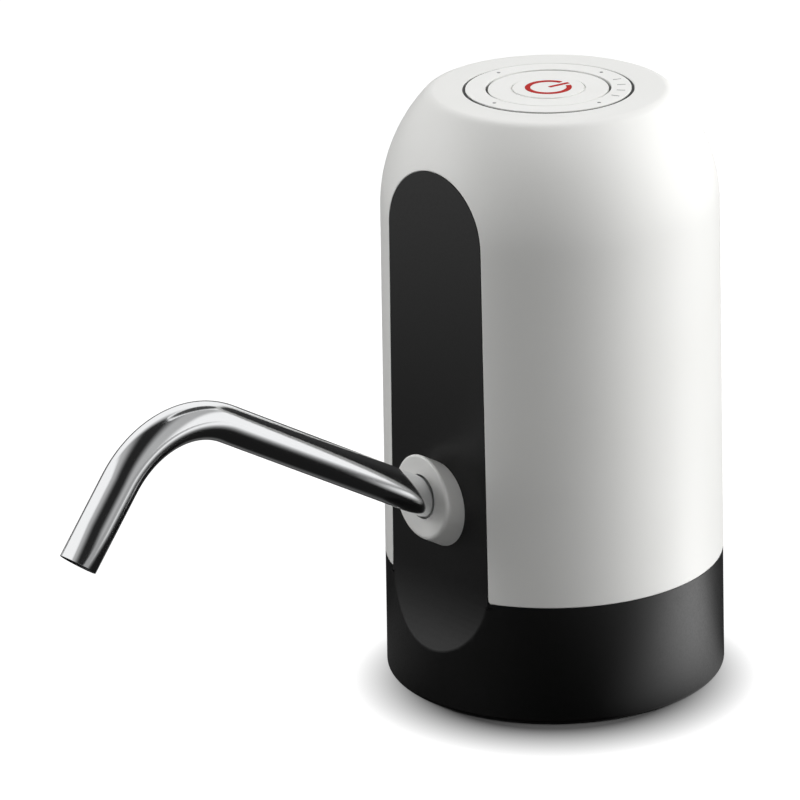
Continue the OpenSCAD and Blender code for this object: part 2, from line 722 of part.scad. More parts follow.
// Bottom cover of the pump, with the inlet boss and two feet
module pump_cover() {
  boss_end = cup_top + nut_h + 0.4;
  seal_room = 1.9;
  color("#33363a") difference() {
    union() {
      translate([0, 0, cover_bottom]) linear_extrude(cover_t) pump_plan();
      translate([0, 0, boss_end]) cylinder(r = pump_boss_r, h = cover_bottom - boss_end + over);
      for (side = [-1, 1]) translate([port_x, side * foot_y, deck_top])
        cylinder(r = foot_r, h = cover_bottom - deck_top + over);
    }
    translate([0, 0, boss_end - over])
      cylinder(r = inlet_r + push_gap, h = cover_bottom + cover_t / 2 - boss_end + over);
    translate([0, 0, boss_end - over])
      cylinder(r = inlet_r + 2 * inlet_ring_r + 2 * push_gap, h = seal_room + over);
    translate([0, 0, cover_bottom]) cylinder(r = port_r, h = cover_t + over);
    for (side = [-1, 1]) translate([port_x, side * foot_y, deck_top - over])
      cylinder(r = base_screw[0] + push_gap, h = socket_depth + base_screw_l - deck_top + over + tip_room);
    translate([port_x, -gear_y, chamber_floor - 2]) cylinder(r = shaft_d / 2 + push_gap / 2, h = 2 + over);
    pump_screw_holes(cover_bottom - over, cover_t + 2 * over);
  }
}

// O-ring round the nipple in the pump cover
module inlet_seal() {
  color("#3a3a3a") translate([0, 0, cup_top + nut_h + 1.3]) rotate_extrude()
    translate([inlet_r + inlet_ring_r + push_gap, 0]) circle(r = inlet_ring_r, $fn = 32);
}

module pump_gasket() {
  color("#7b2f28") translate([0, 0, chamber_floor]) difference() {
    linear_extrude(gasket_t) pump_plan();
    chamber(-over, gasket_t + 2 * over);
    pump_screw_holes(-over, gasket_t + 2 * over);
  }
}

// Pump block: gear chamber below, shaft seal and motor seat above
module pump_housing() {
  floor_z = chamber_floor + gasket_t;
  seat_z = head_top - shaft_seal_h - 0.6;
  color("#3a3d41") difference() {
    union() {
      translate([0, 0, floor_z]) linear_extrude(head_top - floor_z) pump_plan();
      translate([port_x, 0, pump_z]) rotate([0, 90, 0]) cylinder(r = barb_r, h = block_x + barb_l);
    }
    chamber(floor_z - over, chamber_top - floor_z + over);
    translate([2 * port_x, 0, pump_z]) rotate([0, 90, 0]) cylinder(r = port_r, h = block_x + barb_l);
    translate([motor_x, motor_y, chamber_top - over])
      cylinder(r = shaft_d / 2 + 2 * run_gap, h = head_h + 2 * over);
    translate([motor_x, motor_y, seat_z]) cylinder(r = shaft_seal_r + push_gap, h = shaft_seal_h + over);
    translate([port_x, -gear_y, chamber_top - over]) cylinder(r = shaft_d / 2 + push_gap / 2, h = 4 + over);
    pump_screw_holes(floor_z - over, pump_screw_l - cover_t - gasket_t + over + tip_room);
  }
}

// Straight involute gear with a tooth centred on +X
function involute(base, r) = let (a = acos(min(base / r, 1))) tan(a) * 180 / PI - a;
function gear_points() =
  let (base = pitch_r * cos(gear_angle))
  let (half = 90 / gear_teeth - backlash / 2 / pitch_r * 90 / PI + involute(base, pitch_r))
  let (start = max(base, root_r))
  let (flank = [for (i = [0 : 6]) let (r = start + (tip_r - start) * i / 6) [r, half - involute(base, r)]])
  let (root_half = half + 0.5)
  [for (t = [0 : gear_teeth - 1]) let (mid = 360 * t / gear_teeth) each concat(
    [[root_r * cos(mid - root_half), root_r * sin(mid - root_half)]],
    [for (p = flank) [p[0] * cos(mid - p[1]), p[0] * sin(mid - p[1])]],
    [for (i = [6 : -1 : 0]) let (p = flank[i]) [p[0] * cos(mid + p[1]), p[0] * sin(mid + p[1])]],
    [[root_r * cos(mid + root_half), root_r * sin(mid + root_half)]])];
module gear(bore_r) {
  difference() {
    linear_extrude(gear_w) polygon(gear_points());
    translate([0, 0, -over]) cylinder(r = bore_r, h = gear_w + 2 * over);
  }
}
module drive_gear() {
  color("#f0ead8") translate([motor_x, motor_y, pump_z - gear_w / 2]) rotate(-90)
    gear(shaft_d / 2 + push_gap / 2);
}
module idler_gear() {
  color("#f0ead8") translate([port_x, -gear_y, pump_z - gear_w / 2]) rotate(90 + 180 / gear_teeth)
    gear(shaft_d / 2 + 2 * run_gap);
}
module idler_pin() {
  color("#c4c6c8") translate([port_x, -gear_y, chamber_floor - 2]) cylinder(r = shaft_d / 2, h = idler_pin_l);
}

// Lip seal round the motor shaft
module shaft_seal() {
  color("#3a3a3a") translate([motor_x, motor_y, head_top - shaft_seal_h - 0.6])
    ring(shaft_seal_r, shaft_d / 2 + run_gap, shaft_seal_h);
}

module pump_screws() {
  color("#b0b2b4") for (x = [-1, 1], y = [-1, 1])
    translate([port_x + x * pump_screw_x, y * pump_screw_y, cover_bottom]) screw(pump_screw, pump_screw_l);
}

// Steel can of the motor, closed at the pump end
module motor_can() {
  color("#a9acae") translate([motor_x, motor_y, head_top]) difference() {
    cylinder(r = motor_r, h = motor_l - end_cap_t);
    translate([0, 0, bush_boss_t]) cylinder(r = motor_r - can_t, h = motor_l);
    translate([0, 0, -over]) cylinder(r = bush_r + push_gap / 2, h = bush_boss_t + 2 * over);
  }
}

// Plastic end of the motor, with the brush side's bush
module motor_end_cap() {
  spigot = 2.5;
  color("#1f1f1f") translate([motor_x, motor_y, motor_top - end_cap_t]) difference() {
    union() {
      cylinder(r = motor_r, h = end_cap_t);
      translate([0, 0, -spigot]) cylinder(r = motor_r - can_t - push_gap, h = spigot + over);
    }
    translate([0, 0, -spigot - over]) cylinder(r = motor_r - can_t - 2, h = spigot + over);
    translate([0, 0, -over]) cylinder(r = bush_r + push_gap / 2, h = end_cap_t - 0.4 + over);
  }
}

module motor_bushes() {
  color("#a8823c") for (z = [head_top, motor_top - 0.4 - bush_l]) translate([motor_x, motor_y, z])
    ring(bush_r, shaft_d / 2 + run_gap, bush_l);
}

// Two curved magnets inside the can
module motor_magnets() {
  magnet_r = motor_r - can_t - push_gap;
  magnet_l = motor_l - end_cap_t - 2 * magnet_room;
  color("#4b4d50") translate([motor_x, motor_y, head_top + magnet_room]) intersection() {
    ring(magnet_r, magnet_r - magnet_t, magnet_l);
    for (side = [-1, 1]) translate([side * magnet_r, 0, magnet_l / 2])
      cube([1.2 * magnet_r, 1.6 * magnet_r, magnet_l], center = true);
  }
}

// Three-pole armature and commutator on the shaft
module motor_armature() {
  pole_r = motor_r - can_t - push_gap - magnet_t - air_gap;
  core_l = motor_l - end_cap_t - 2 * core_room;
  color("#9c5f35") translate([motor_x, motor_y, head_top + core_room]) difference() {
    union() {
      intersection() {
        cylinder(r = pole_r, h = core_l);
        for (turn = [0, 120, 240]) rotate(turn) translate([0, -pole_r * 0.55, 0])
          cube([pole_r, pole_r * 1.1, core_l]);
      }
      cylinder(r = pole_r * 0.55, h = core_l);
      cylinder(r = commutator_r, h = core_l + commutator_l);
    }
    translate([0, 0, -over]) cylinder(r = shaft_d / 2 + push_gap / 2, h = motor_l);
  }
}

module motor_shaft() {
  start = pump_z - gear_w / 2;
  color("#c4c6c8") translate([motor_x, motor_y, start]) cylinder(r = shaft_d / 2, h = motor_top - 1 - start);
}

module motor_terminals() {
  color("#c9a24e") for (x = tab_places) translate([x, tab_y, motor_top + tab_h / 2])
    cube([tab_w, tab_t, tab_h], center = true);
}

// Frame that clips round the motor and the cell and carries the board
module clip(x, y, r, z, h, mouth) {
  translate([x, y, z]) difference() {
    ring(r + clip_gap + clip_t, r + clip_gap, h);
    translate([-mouth, -3 * r, -over]) cube([2 * mouth, 2.7 * r, h + 2 * over]);
  }
}
module inner_frame() {
  color("#3c3f43") difference() {
    union() {
      difference() {
        union() {
          block(frame_x, [frame_y, frame_y + frame_t], [deck_top, deck_top + frame_h]);
          for (z = [deck_top + clip_h, deck_top + frame_h - 1.4 * clip_h])
            clip(cell_x, cell_y, cell_r, z, clip_h, cell_r * 0.8);
          clip(motor_x, motor_y, motor_r, head_top + 1.4 * clip_h, 1.4 * clip_h, motor_r * 0.8);
        }
        translate([cell_x, cell_y, deck_top]) cylinder(r = cell_r + clip_gap, h = frame_h + over);
        translate([motor_x, motor_y, deck_top]) cylinder(r = motor_r + clip_gap, h = frame_h + over);
      }
      for (side = [-1, 1]) translate([side * frame_foot[0], 0, deck_top]) {
        translate([0, frame_foot[1], 0]) cylinder(r = frame_foot_r, h = frame_foot_h);
        block([-frame_foot_r, frame_foot_r], [frame_y + frame_t / 4, frame_foot[1]], [0, frame_foot_h]);
      }
      for (x = [-1, 1], z = board_holes_z) translate([x * board_holes_x, frame_y + frame_t / 4, z])
        to_back() cylinder(r = standoff_r, h = board_y - frame_y - frame_t / 4);
    }
    for (side = [-1, 1]) translate([side * frame_foot[0], frame_foot[1], deck_top - over])
      cylinder(r = base_screw[0] + push_gap, h = socket_depth + base_screw_l - deck_top + over + tip_room);
    for (x = [-1, 1], z = board_holes_z) translate([x * board_holes_x, board_y - board_screw_l, z])
      to_back() cylinder(r = board_screw[0] + push_gap, h = board_screw_l + over);
  }
}

// Round lithium cell with its positive cap
module battery_cell() {
  color("#3f6fb0") translate([cell_x, cell_y, cell_bottom]) {
    cylinder(r = cell_r, h = cell_l);
    cylinder(r = 2.8, h = cell_l + nub_h);
  }
}
module cell_pad() {
  color("#2b2b2b") translate([cell_x, cell_y, deck_top]) cylinder(r = cell_r - 0.6, h = pad_t);
}

module control_board() {
  color("#1e6b3c") difference() {
    block([-board_w / 2, board_w / 2], [board_y, board_back], [board_z, board_z + board_h]);
    for (x = [-1, 1], z = board_holes_z) translate([x * board_holes_x, board_y - over, z])
      to_back() cylinder(r = board_screw[0] + push_gap, h = board_t + 2 * over);
  }
}

// Charge controller, coil and capacitor on the board
module board_chips() {
  color("#222426") translate([0, board_back, board_z]) {
    for (c = chips) translate(c[0]) cube(c[1]);
    translate(capacitor_at) to_back() cylinder(r = capacitor_r, h = capacitor_h);
  }
}

// Charging socket: a thin metal sleeve with a tongue, open to the back
module usb_socket() {
  sleeve = 0.35;
  depth = 6.4;
  color("#c2c4c6") translate([0, board_back, usb_z]) {
    difference() {
      to_back() linear_extrude(usb_mouth - board_back) slot_2d(usb_w, usb_h);
      translate([0, usb_mouth - board_back - depth, 0]) to_back()
        linear_extrude(depth + over) slot_2d(usb_w - 2 * sleeve, usb_h - 2 * sleeve);
    }
    translate([0, usb_mouth - board_back - depth / 2 - 1, 0]) cube([usb_w * 0.72, depth, 0.7], center = true);
  }
}

module charge_led() {
  color("#e8e3c8") translate([led_x, board_back + led_h / 2, usb_z]) cube([2, led_h, 1.6], center = true);
}
// Clear rod that brings the charge light to the shell
module charge_lens() {
  start = board_back + led_h;
  color("#dfe8ea") translate([led_x, start, usb_z]) to_back() cylinder(r = lens_r, h = lens_end - start);
}
module board_screws() {
  color("#b0b2b4") for (x = [-1, 1], z = board_holes_z)
    translate([x * board_holes_x, board_back, z]) rotate([90, 0, 0]) screw(board_screw, board_screw_l);
}

// Round board under the button
module switch_board() {
  color("#1e6b3c") difference() {
    translate([0, 0, switch_top - board_t]) cylinder(r = switch_board_r, h = board_t);
    for (turn = post_turns) rotate(turn) translate([post_place, 0, switch_top - board_t - over])
      cylinder(r = switch_screw[0] + push_gap, h = board_t + 2 * over);
  }
}
module tact_switch() {
  room = button_travel + plunger_room + 0.6;
  color("#26282a") translate([0, 0, switch_top]) difference() {
    translate([-switch_side / 2, -switch_side / 2, 0]) cube([switch_side, switch_side, switch_h]);
    translate([0, 0, switch_h - room]) cylinder(r = plunger_r + slide_gap / 2, h = room + over);
  }
}
module switch_plunger() {
  sunk = 0.6;
  color("#e9e9e6") translate([0, 0, switch_top + switch_h - sunk])
    cylinder(r = plunger_r, h = plunger_out + sunk);
}
module button_leds() {
  size = [1.6, 3, 0.8];
  color("#e8e3c8") for (side = [-1, 1]) translate([side * 6, 0, switch_top + size[2] / 2])
    cube(size, center = true);
}
module switch_screws() {
  color("#b0b2b4") for (turn = post_turns) rotate(turn) translate([post_place, 0, switch_top - board_t])
    screw(switch_screw, switch_screw_l);
}

// Power sign: an open ring with a bar in its gap, the gap towards the back
module icon_2d(grow = 0) {
  r = icon_d / 2;
  gap_w = 2 * r * tan(icon_gap);
  bar_w = icon_line * 0.8;
  rotate(icon_turn) {
    difference() {
      circle(r = r + grow);
      circle(r = r - icon_line - grow);
      polygon([[0, 0], [-gap_w + grow, 2 * r], [gap_w - grow, 2 * r]]);
    }
    translate([-bar_w / 2 - grow, r * 0.05 - grow]) square([bar_w + 2 * grow, r + 2 * grow]);
  }
}

// Push button: face with a raised disc, skirt with three hooks, and the stem over the switch
module button_cap() {
  stem_end = switch_top + switch_h + plunger_out;
  under = body_h - cap_t;
  color("#f4f4f2") difference() {
    union() {
      difference() {
        translate([0, 0, under]) cylinder(r = button_r, h = cap_t);
        translate([0, 0, disc_foot]) cylinder(r = disc_d / 2 + disc_groove_w, h = disc_groove_depth + over);
      }
      translate([0, 0, disc_foot - over / 2]) cylinder(d = disc_d, h = disc_top - disc_foot + over / 2);
      translate([0, 0, skirt_end]) ring(skirt_r, skirt_r - skirt_t, under - skirt_end + 0.2);
      translate([0, 0, stem_end]) cylinder(r = stem_r, h = under - stem_end + 0.2);
      for (turn = hook_turns) rotate(turn) translate([skirt_r - 0.7, -2, skirt_end])
        cube([hook_out + 0.7, 4, hook_h]);
    }
    translate([0, 0, disc_top - icon_t]) linear_extrude(icon_t + over) icon_2d(push_gap / 2);
  }
}
module power_icon() {
  color("#d9352a") translate([0, 0, disc_top - icon_t]) linear_extrude(icon_t + icon_proud) icon_2d();
}
module button_bezel() {
  color("#f4f4f2") translate([0, 0, ledge_z]) ring(bezel_r, button_r + ring_gap, bezel_t + bezel_proud);
}

module battery_leads() { color("#c03028") for (route = battery_routes) lead(route); }
module motor_leads() { color("#30323a") for (route = motor_routes) lead(route); }
module switch_leads() { color("#d8d8d4") for (route = switch_routes) lead(route); }

outer_shell();
base_body();
socket_cup();
neck_seal();
hose_nipple();
nipple_nut();
base_screws();
spout_tube();
outlet_fitting();
spout_seals();
fitting_nut();
outlet_hose();
pump_cover();
inlet_seal();
pump_gasket();
pump_housing();
drive_gear();
idler_gear();
idler_pin();
shaft_seal();
pump_screws();
motor_can();
motor_end_cap();
motor_bushes();
motor_magnets();
motor_armature();
motor_shaft();
motor_terminals();
inner_frame();
battery_cell();
cell_pad();
control_board();
board_chips();
usb_socket();
charge_led();
charge_lens();
board_screws();
switch_board();
tact_switch();
switch_plunger();
button_leds();
switch_screws();
button_cap();
power_icon();
button_bezel();
battery_leads();
motor_leads();
switch_leads();
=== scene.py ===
"""Looks of a rechargeable pump that stands on the neck of a large water bottle.

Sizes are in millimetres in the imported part's frame: the body's axis is Z, the foot is at 0 and the
spout points to -Y. MM turns them into Blender's metres.
"""

from math import asin, atan2, cos, hypot, pi, radians, sin, sqrt, tan

import bmesh
import bpy
from mathutils import Matrix, Vector


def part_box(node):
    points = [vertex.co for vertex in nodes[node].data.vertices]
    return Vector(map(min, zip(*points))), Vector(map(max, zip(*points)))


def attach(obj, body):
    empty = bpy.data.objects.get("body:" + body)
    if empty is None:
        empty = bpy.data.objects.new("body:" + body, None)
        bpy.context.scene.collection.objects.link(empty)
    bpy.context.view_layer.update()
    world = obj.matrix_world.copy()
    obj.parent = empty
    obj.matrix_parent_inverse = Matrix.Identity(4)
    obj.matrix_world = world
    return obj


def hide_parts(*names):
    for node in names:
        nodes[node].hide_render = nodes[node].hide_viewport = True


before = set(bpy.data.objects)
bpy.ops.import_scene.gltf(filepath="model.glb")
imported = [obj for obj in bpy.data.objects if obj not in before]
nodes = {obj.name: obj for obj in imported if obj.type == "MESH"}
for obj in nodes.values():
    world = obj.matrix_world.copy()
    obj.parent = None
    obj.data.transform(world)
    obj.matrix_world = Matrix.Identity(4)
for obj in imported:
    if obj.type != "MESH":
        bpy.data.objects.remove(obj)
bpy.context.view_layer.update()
MM = 0.001


# Sizes

# Body
BODY_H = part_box("outer_shell")[1].z / MM
BODY_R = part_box("base_body")[1].x / MM
SHELL_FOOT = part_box("outer_shell")[0].z / MM
WALL_DRAFT = radians(0.49)
DRAFT = tan(WALL_DRAFT)
SHELL_WALL = 2.2
DOME_H = 25.5
DOME_Z = BODY_H - DOME_H
DOME_R = (BODY_R - DOME_Z * DRAFT) * cos(WALL_DRAFT)
TOP_EDGE_R = 3.0
EDGE_ROUND = 0.22

# Front panel and the arched opening round it
PANEL_DRAFT = radians(0.24)
PANEL_IN = 3.4
PANEL_OUT = BODY_R - PANEL_IN
OPENING_CORNER_R = 0.7
LIP_ROUND = 0.35

# Ring and button on the flat top
RING_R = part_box("button_bezel")[1].x / MM
RING_FACE = BODY_H + 0.1
RING_GAP = 0.4
RING_T = 2.4
RING_FOOT = BODY_H - RING_T
RING_TRIM = 0.2
RING_ROUND = 0.1
RING_SIDES = 144
BUTTON_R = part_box("button_cap")[1].x / MM
BUTTON_GAP = 0.5
BUTTON_ROUND = 0.25
DISC_R = 7.6
DISC_ROUND = 0.05
SKIRT_HOLE_R = 10.9

# Charging socket and charge light at the back
PORT_Z = 44.0
SOCKET_W = 9.0
SOCKET_H = 3.2
PORT_ROOM = 0.9
PORT_W = SOCKET_W + 2 * PORT_ROOM
PORT_H = SOCKET_H + 2 * PORT_ROOM
LENS_X = 8.5
LENS_HOLE_R = 1.15

# Spout: a straight run from the panel, a bend and a straight tip
SPOUT_R = 4.0
SPOUT_WALL = 0.6
SPOUT_Z = 45.55
SPOUT_RISE = radians(30.2)
SPOUT_SEAT = 12.3
SPOUT_RUN = 66.2
BEND_R = 22.0
BEND_TURN = radians(81.4)
SPOUT_TIP = 18.4
COLLAR_OUT = 5.1
COLLAR_HOLE_R = 4.3
COLLAR_ROUND = 0.8
COLLAR_HOLE_ROUND = 0.1


def wall_radius(z):
    """Outside radius of the body at height z."""
    return BODY_R - z * DRAFT if z < DOME_Z else sqrt(DOME_R ** 2 - (z - DOME_Z) ** 2)


def panel_distance(z):
    """Distance of the panel's face from the body's axis at height z."""
    return PANEL_OUT - z * tan(PANEL_DRAFT)


ARCH_Z = DOME_Z + panel_distance(DOME_Z) * sin(PANEL_DRAFT)
ARCH_R = sqrt(DOME_R ** 2 - (panel_distance(DOME_Z) * cos(PANEL_DRAFT)) ** 2)
OPENING_FOOT_X = sqrt(wall_radius(SHELL_FOOT) ** 2 - panel_distance(SHELL_FOOT) ** 2)


# Mesh helpers

WELD = 0.002
# Angles between faces: up to LEVEL they are joined, above CORNER an edge can be rounded, and above SHARP
# the shading breaks
LEVEL = radians(0.1)
CORNER = radians(20)
SHARP = radians(35)


def piece(name, mesh, body, finish, slot, *replaced):
    """Adds a mesh as a piece that moves with a body, has a finish and stands for some nodes."""
    made = bpy.data.objects.new(name, mesh)
    bpy.context.scene.collection.objects.link(made)
    made.data.materials.append(finish)
    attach(made, body)
    if replaced:
        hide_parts(*replaced)
    return made


def mesh_from(name, points, faces):
    """A smooth mesh from points in millimetres."""
    mesh = bpy.data.meshes.new(name)
    mesh.from_pydata([Vector(p) * MM for p in points], [], faces)
    tidy = bmesh.new()
    tidy.from_mesh(mesh)
    bmesh.ops.remove_doubles(tidy, verts=tidy.verts, dist=WELD * MM)
    bmesh.ops.recalc_face_normals(tidy, faces=tidy.faces)
    for face in tidy.faces:
        face.smooth = True
    tidy.to_mesh(mesh)
    tidy.free()
    return mesh


def grid_faces(rows, columns, first=0, closed=False):
    """Quads between rows of points that follow each other."""
    wrap = columns if closed else columns - 1
    return [(first + i * columns + j, first + i * columns + (j + 1) % columns,
             first + (i + 1) * columns + (j + 1) % columns, first + (i + 1) * columns + j)
            for i in range(rows - 1) for j in range(wrap)]


def settled(mesh, modifiers):
    """The mesh after a list of (kind, settings) modifiers."""
    holder = bpy.data.objects.new("holder", mesh)
    bpy.context.scene.collection.objects.link(holder)
    add_modifiers(holder, modifiers)
    graph = bpy.context.evaluated_depsgraph_get()
    result = bpy.data.meshes.new_from_object(holder.evaluated_get(graph))
    bpy.data.objects.remove(holder)
    return result


def add_modifiers(thing, modifiers):
    """Adds (kind, settings) modifiers to an object."""
    for kind, settings in modifiers:
        modifier = thing.modifiers.new(kind.lower(), kind)
        for key, value in settings.items():
            setattr(modifier, key, value)


def cad_copy(node):
    """The node's faces as an editable mesh, welded, with its flat faces in one piece."""
    source = nodes[node].data
    corners = [v.co / MM for v in source.vertices]
    mesh = mesh_from(node, corners, [p.vertices[:] for p in source.polygons])
    edit = bmesh.new()
    edit.from_mesh(mesh)
    bmesh.ops.dissolve_limit(edit, angle_limit=LEVEL, verts=edit.verts, edges=edit.edges)
    return edit


def soften(edit, width, segments, on_edge):
    """Rounds the edges whose two ends pass a test on their place in millimetres."""
    edges = [e for e in edit.edges if len(e.link_faces) == 2 and e.calc_face_angle() > CORNER
             and all(on_edge(v.co / MM) for v in e.verts)]
    bmesh.ops.bevel(edit, geom=edges, offset=width * MM, offset_type="OFFSET", segments=segments,
                    profile=0.5, affect="EDGES", clamp_overlap=False)


def finished(name, edit):
    """The edited faces as a smooth mesh that keeps its sharp edges."""
    mesh = bpy.data.meshes.new(name)
    edit.to_mesh(mesh)
    edit.free()
    mesh.shade_smooth()
    mesh.set_sharp_from_angle(angle=SHARP)
    return mesh


def even_shading(thing):
    """Keeps broad faces flat up to the roundings beside them."""
    add_modifiers(thing, [("WEIGHTED_NORMAL", {"weight": 60, "keep_sharp": True})])


def arc(r, z, radius, start, end, steps):
    """Points of a rounding in a profile, angles in degrees."""
    return [(r + radius * cos(radians(a)), z + radius * sin(radians(a)))
            for a in (start + (end - start) * k / steps for k in range(steps + 1))]


def turned(name, profile, sides):
    """A closed profile of (radius, height) turned round the body's axis."""
    loop = profile + profile[:1]
    points = [on_body(2 * pi * k / sides, r, z) for r, z in loop for k in range(sides)]
    return mesh_from(name, points, grid_faces(len(profile) + 1, sides, closed=True))


def on_body(turn, radius, z):
    """A point at an angle from the front, towards +X."""
    return Vector((radius * sin(turn), -radius * cos(turn), z))


# Materials

def rgb(text):
    """A colour written as sRGB hex, in linear light."""
    parts = [int(text[i:i + 2], 16) / 255 for i in (1, 3, 5)]
    return [p / 12.92 if p <= 0.04045 else ((p + 0.055) / 1.055) ** 2.4 for p in parts] + [1.0]


def add(tree, kind, inputs=None, **settings):
    """Adds a shader node, sets its options, and fills its inputs with values or other outputs."""
    made = tree.nodes.new("ShaderNode" + kind)
    for key, value in settings.items():
        setattr(made, key, value)
    for key, value in (inputs or {}).items():
        if isinstance(value, bpy.types.NodeSocket):
            tree.links.new(value, made.inputs[key])
        else:
            made.inputs[key].default_value = value
    return made


def new_tree(name):
    """An empty material and its node tree."""
    made = bpy.data.materials.new(name)
    made.use_nodes = True
    made.node_tree.nodes.clear()
    return made, made.node_tree


# Fine patterns: the texture, its output, its options, and its scale for a pattern one metre wide
SPECKLE = ("TexNoise", "Fac", {}, 1.0)
CELLS = ("TexVoronoi", "Distance", {}, 1.0)
TRACKS = ("TexVoronoi", "Distance", {"distance": "MANHATTAN"}, 1.0)
LINES = ("TexWave", "Fac", {"bands_direction": "X"}, 0.314)
COURSES = ("TexWave", "Fac", {"bands_direction": "Z"}, 0.314)


def grained(name, colour, shade, grain, cloud, rough, spread, bump, stretch=(1, 1, 1),
            pattern=SPECKLE, shows=0.0, **shader):
    """A surface with a fine pattern in its gloss and relief and a broad drift in its colour.

    grain and cloud are the patterns' sizes in millimetres, bump is the relief's depth in
    millimetres, stretch draws the fine pattern out along an axis, and shows is its share in the colour.
    """
    made, tree = new_tree(name)
    place = add(tree, "TexCoord").outputs["Object"]
    drawn = add(tree, "Mapping", {"Vector": place, "Scale": stretch})
    kind, output, options, unit = pattern
    sized = {"Vector": drawn.outputs[0], "Scale": unit / (grain * MM)}
    fine = add(tree, kind, sized, **options).outputs[output]
    broad = add(tree, "TexNoise", {"Vector": place, "Scale": 1 / (cloud * MM), "Detail": 2.0})
    share = add(tree, "MixRGB", {"Fac": shows, "Color1": broad.outputs["Fac"], "Color2": fine})
    tint = add(tree, "MixRGB", {"Fac": share.outputs[0], "Color1": rgb(colour), "Color2": rgb(shade)})
    gloss = add(tree, "MapRange", {"Value": fine, "From Min": 0.3, "From Max": 0.7,
                                   "To Min": rough - spread, "To Max": rough + spread})
    relief = add(tree, "Bump", {"Height": fine, "Strength": 1.0, "Distance": bump * MM})
    surface = add(tree, "BsdfPrincipled", {"Base Color": tint.outputs[0], "Roughness": gloss.outputs[0],
                                           "Normal": relief.outputs[0], **shader})
    add(tree, "OutputMaterial", {"Surface": surface.outputs[0]})
    return made


# Moulded ABS from a finely eroded tool: white, silky, with a faint orange peel that softens every
# highlight. The tool's grain is about 0.05 mm and is drawn at 0.5 mm so that it shows.
white_shell = grained("moulded_white_abs", "#ECECEA", "#E6E6E3", 0.5, 30, 0.42, 0.05, 0.0012, IOR=1.53)
# The same plastic from a polished tool: the collar, the ring and the button are a little glossier.
white_trim = grained("polished_white_abs", "#EFEFED", "#E9E9E6", 0.8, 12, 0.32, 0.03, 0.0002, IOR=1.53)
# Black ABS from an eroded tool: deep black where it faces the dark, with a broad grey satin sheen. Its
# grain is drawn as coarse as the shell's.
black_base = grained("moulded_black_abs", "#050505", "#070707", 0.45, 25, 0.42, 0.05, 0.0012, IOR=1.53)
# Black ABS with faint rings left by the turned core of its tool, a shade paler than the base.
black_socket = grained("turned_tool_black_abs", "#161616", "#1C1C1B", 0.8, 20, 0.5, 0.06, 0.002,
                       pattern=COURSES, IOR=1.53)
# Stainless steel tube, bent and polished on a wheel: a mirror with the faintest haze.
steel_tube = grained("polished_stainless_tube", "#F2F3F4", "#ECEDEE", 0.4, 14, 0.12, 0.02, 0.00004,
                     Metallic=1.0)
# The same tube's bore and cut end, rougher as drawn and sawn, in a dark grey that is painted shade: the shade
# inside the tube and along its cut end.
bore_painted_shade = grained("drawn_stainless_bore_painted_shade", "#4A4A4B", "#3B3B3C", 0.4, 5, 0.5, 0.08, 0.001, Metallic=1.0)
# Red translucent ABS of the lit sign: an even, matt red.
red_sign = grained("moulded_red_abs", "#BC1810", "#A8120B", 0.6, 6, 0.5, 0.04, 0.0004, IOR=1.53,
                   **{"Specular IOR Level": 0.06})
# Pad-printed ink on the ring: thin, so its grey is uneven.
grey_ink = grained("printed_grey_ink", "#6E6F70", "#8A8B8B", 0.2, 1.5, 0.55, 0.08, 0.0004, shows=0.5)
# Moulded silicone: milky, soft and slightly see-through, with a skin that is never quite glossy.
clear_silicone = grained("moulded_silicone", "#D6D8D4", "#C8CBC7", 0.5, 8, 0.5, 0.06, 0.001, IOR=1.41,
                         **{"Transmission Weight": 0.35})
# Nitrile rubber out of a ground mould: matt charcoal with a fine speckle.
black_rubber = grained("moulded_nitrile_rubber", "#232323", "#2C2C2C", 0.3, 6, 0.62, 0.08, 0.002, shows=0.4)
# Zinc-plated steel: small crystals give a pale, broken glint.
plated_screw = grained("zinc_plated_steel", "#B4B7B9", "#A2A5A8", 0.35, 3, 0.3, 0.1, 0.001,
                       pattern=CELLS, shows=0.5, Metallic=1.0)
# Centreless-ground steel: bright, with fine rings across the shaft.
ground_steel = grained("ground_steel", "#C8CACC", "#BABCBE", 0.3, 6, 0.22, 0.06, 0.0006,
                       pattern=COURSES, Metallic=1.0)
# Deep-drawn steel: satin, with long streaks along the draw.
drawn_steel = grained("drawn_steel_can", "#A9ACAE", "#9A9DA0", 0.4, 10, 0.34, 0.08, 0.001, (3, 3, 0.15),
                      shows=0.5, Metallic=1.0)
# Pressed brass strip: yellow, rolled along its length.
brass_tab = grained("pressed_brass", "#C9A24E", "#B8913F", 0.3, 4, 0.3, 0.06, 0.0008, (3, 3, 0.2),
                    Metallic=1.0)
# Sintered bronze: dull, with open pores that hold oil.
bush_bronze = grained("sintered_bronze", "#A8823C", "#8E6C30", 0.25, 3, 0.48, 0.1, 0.004,
                      pattern=CELLS, shows=0.6, Metallic=1.0)
# Pressed ferrite: dark, dry grey like slate.
dark_magnet = grained("pressed_ferrite", "#4A4C4F", "#3E4043", 0.25, 5, 0.7, 0.1, 0.003, shows=0.4)
# Enamelled copper wire of 0.35 mm laid side by side: brown, each turn with its own highlight.
copper_coil = grained("enamelled_copper_winding", "#A4602F", "#6B3A1C", 0.35, 3, 0.32, 0.08, 0.06,
                      pattern=LINES, shows=0.7, Metallic=0.8)
# Glass-filled nylon: dark grey and matt, with short fibres at the skin.
grey_nylon = grained("moulded_grey_nylon", "#3C3F43", "#34373A", 0.5, 15, 0.5, 0.06, 0.002, (1, 1, 0.3),
                     shows=0.3, IOR=1.53)
# Moulded acetal: cream, waxy, almost without grain.
cream_acetal = grained("moulded_acetal", "#EFE9D8", "#E6DFCB", 0.4, 8, 0.4, 0.05, 0.001, IOR=1.48)
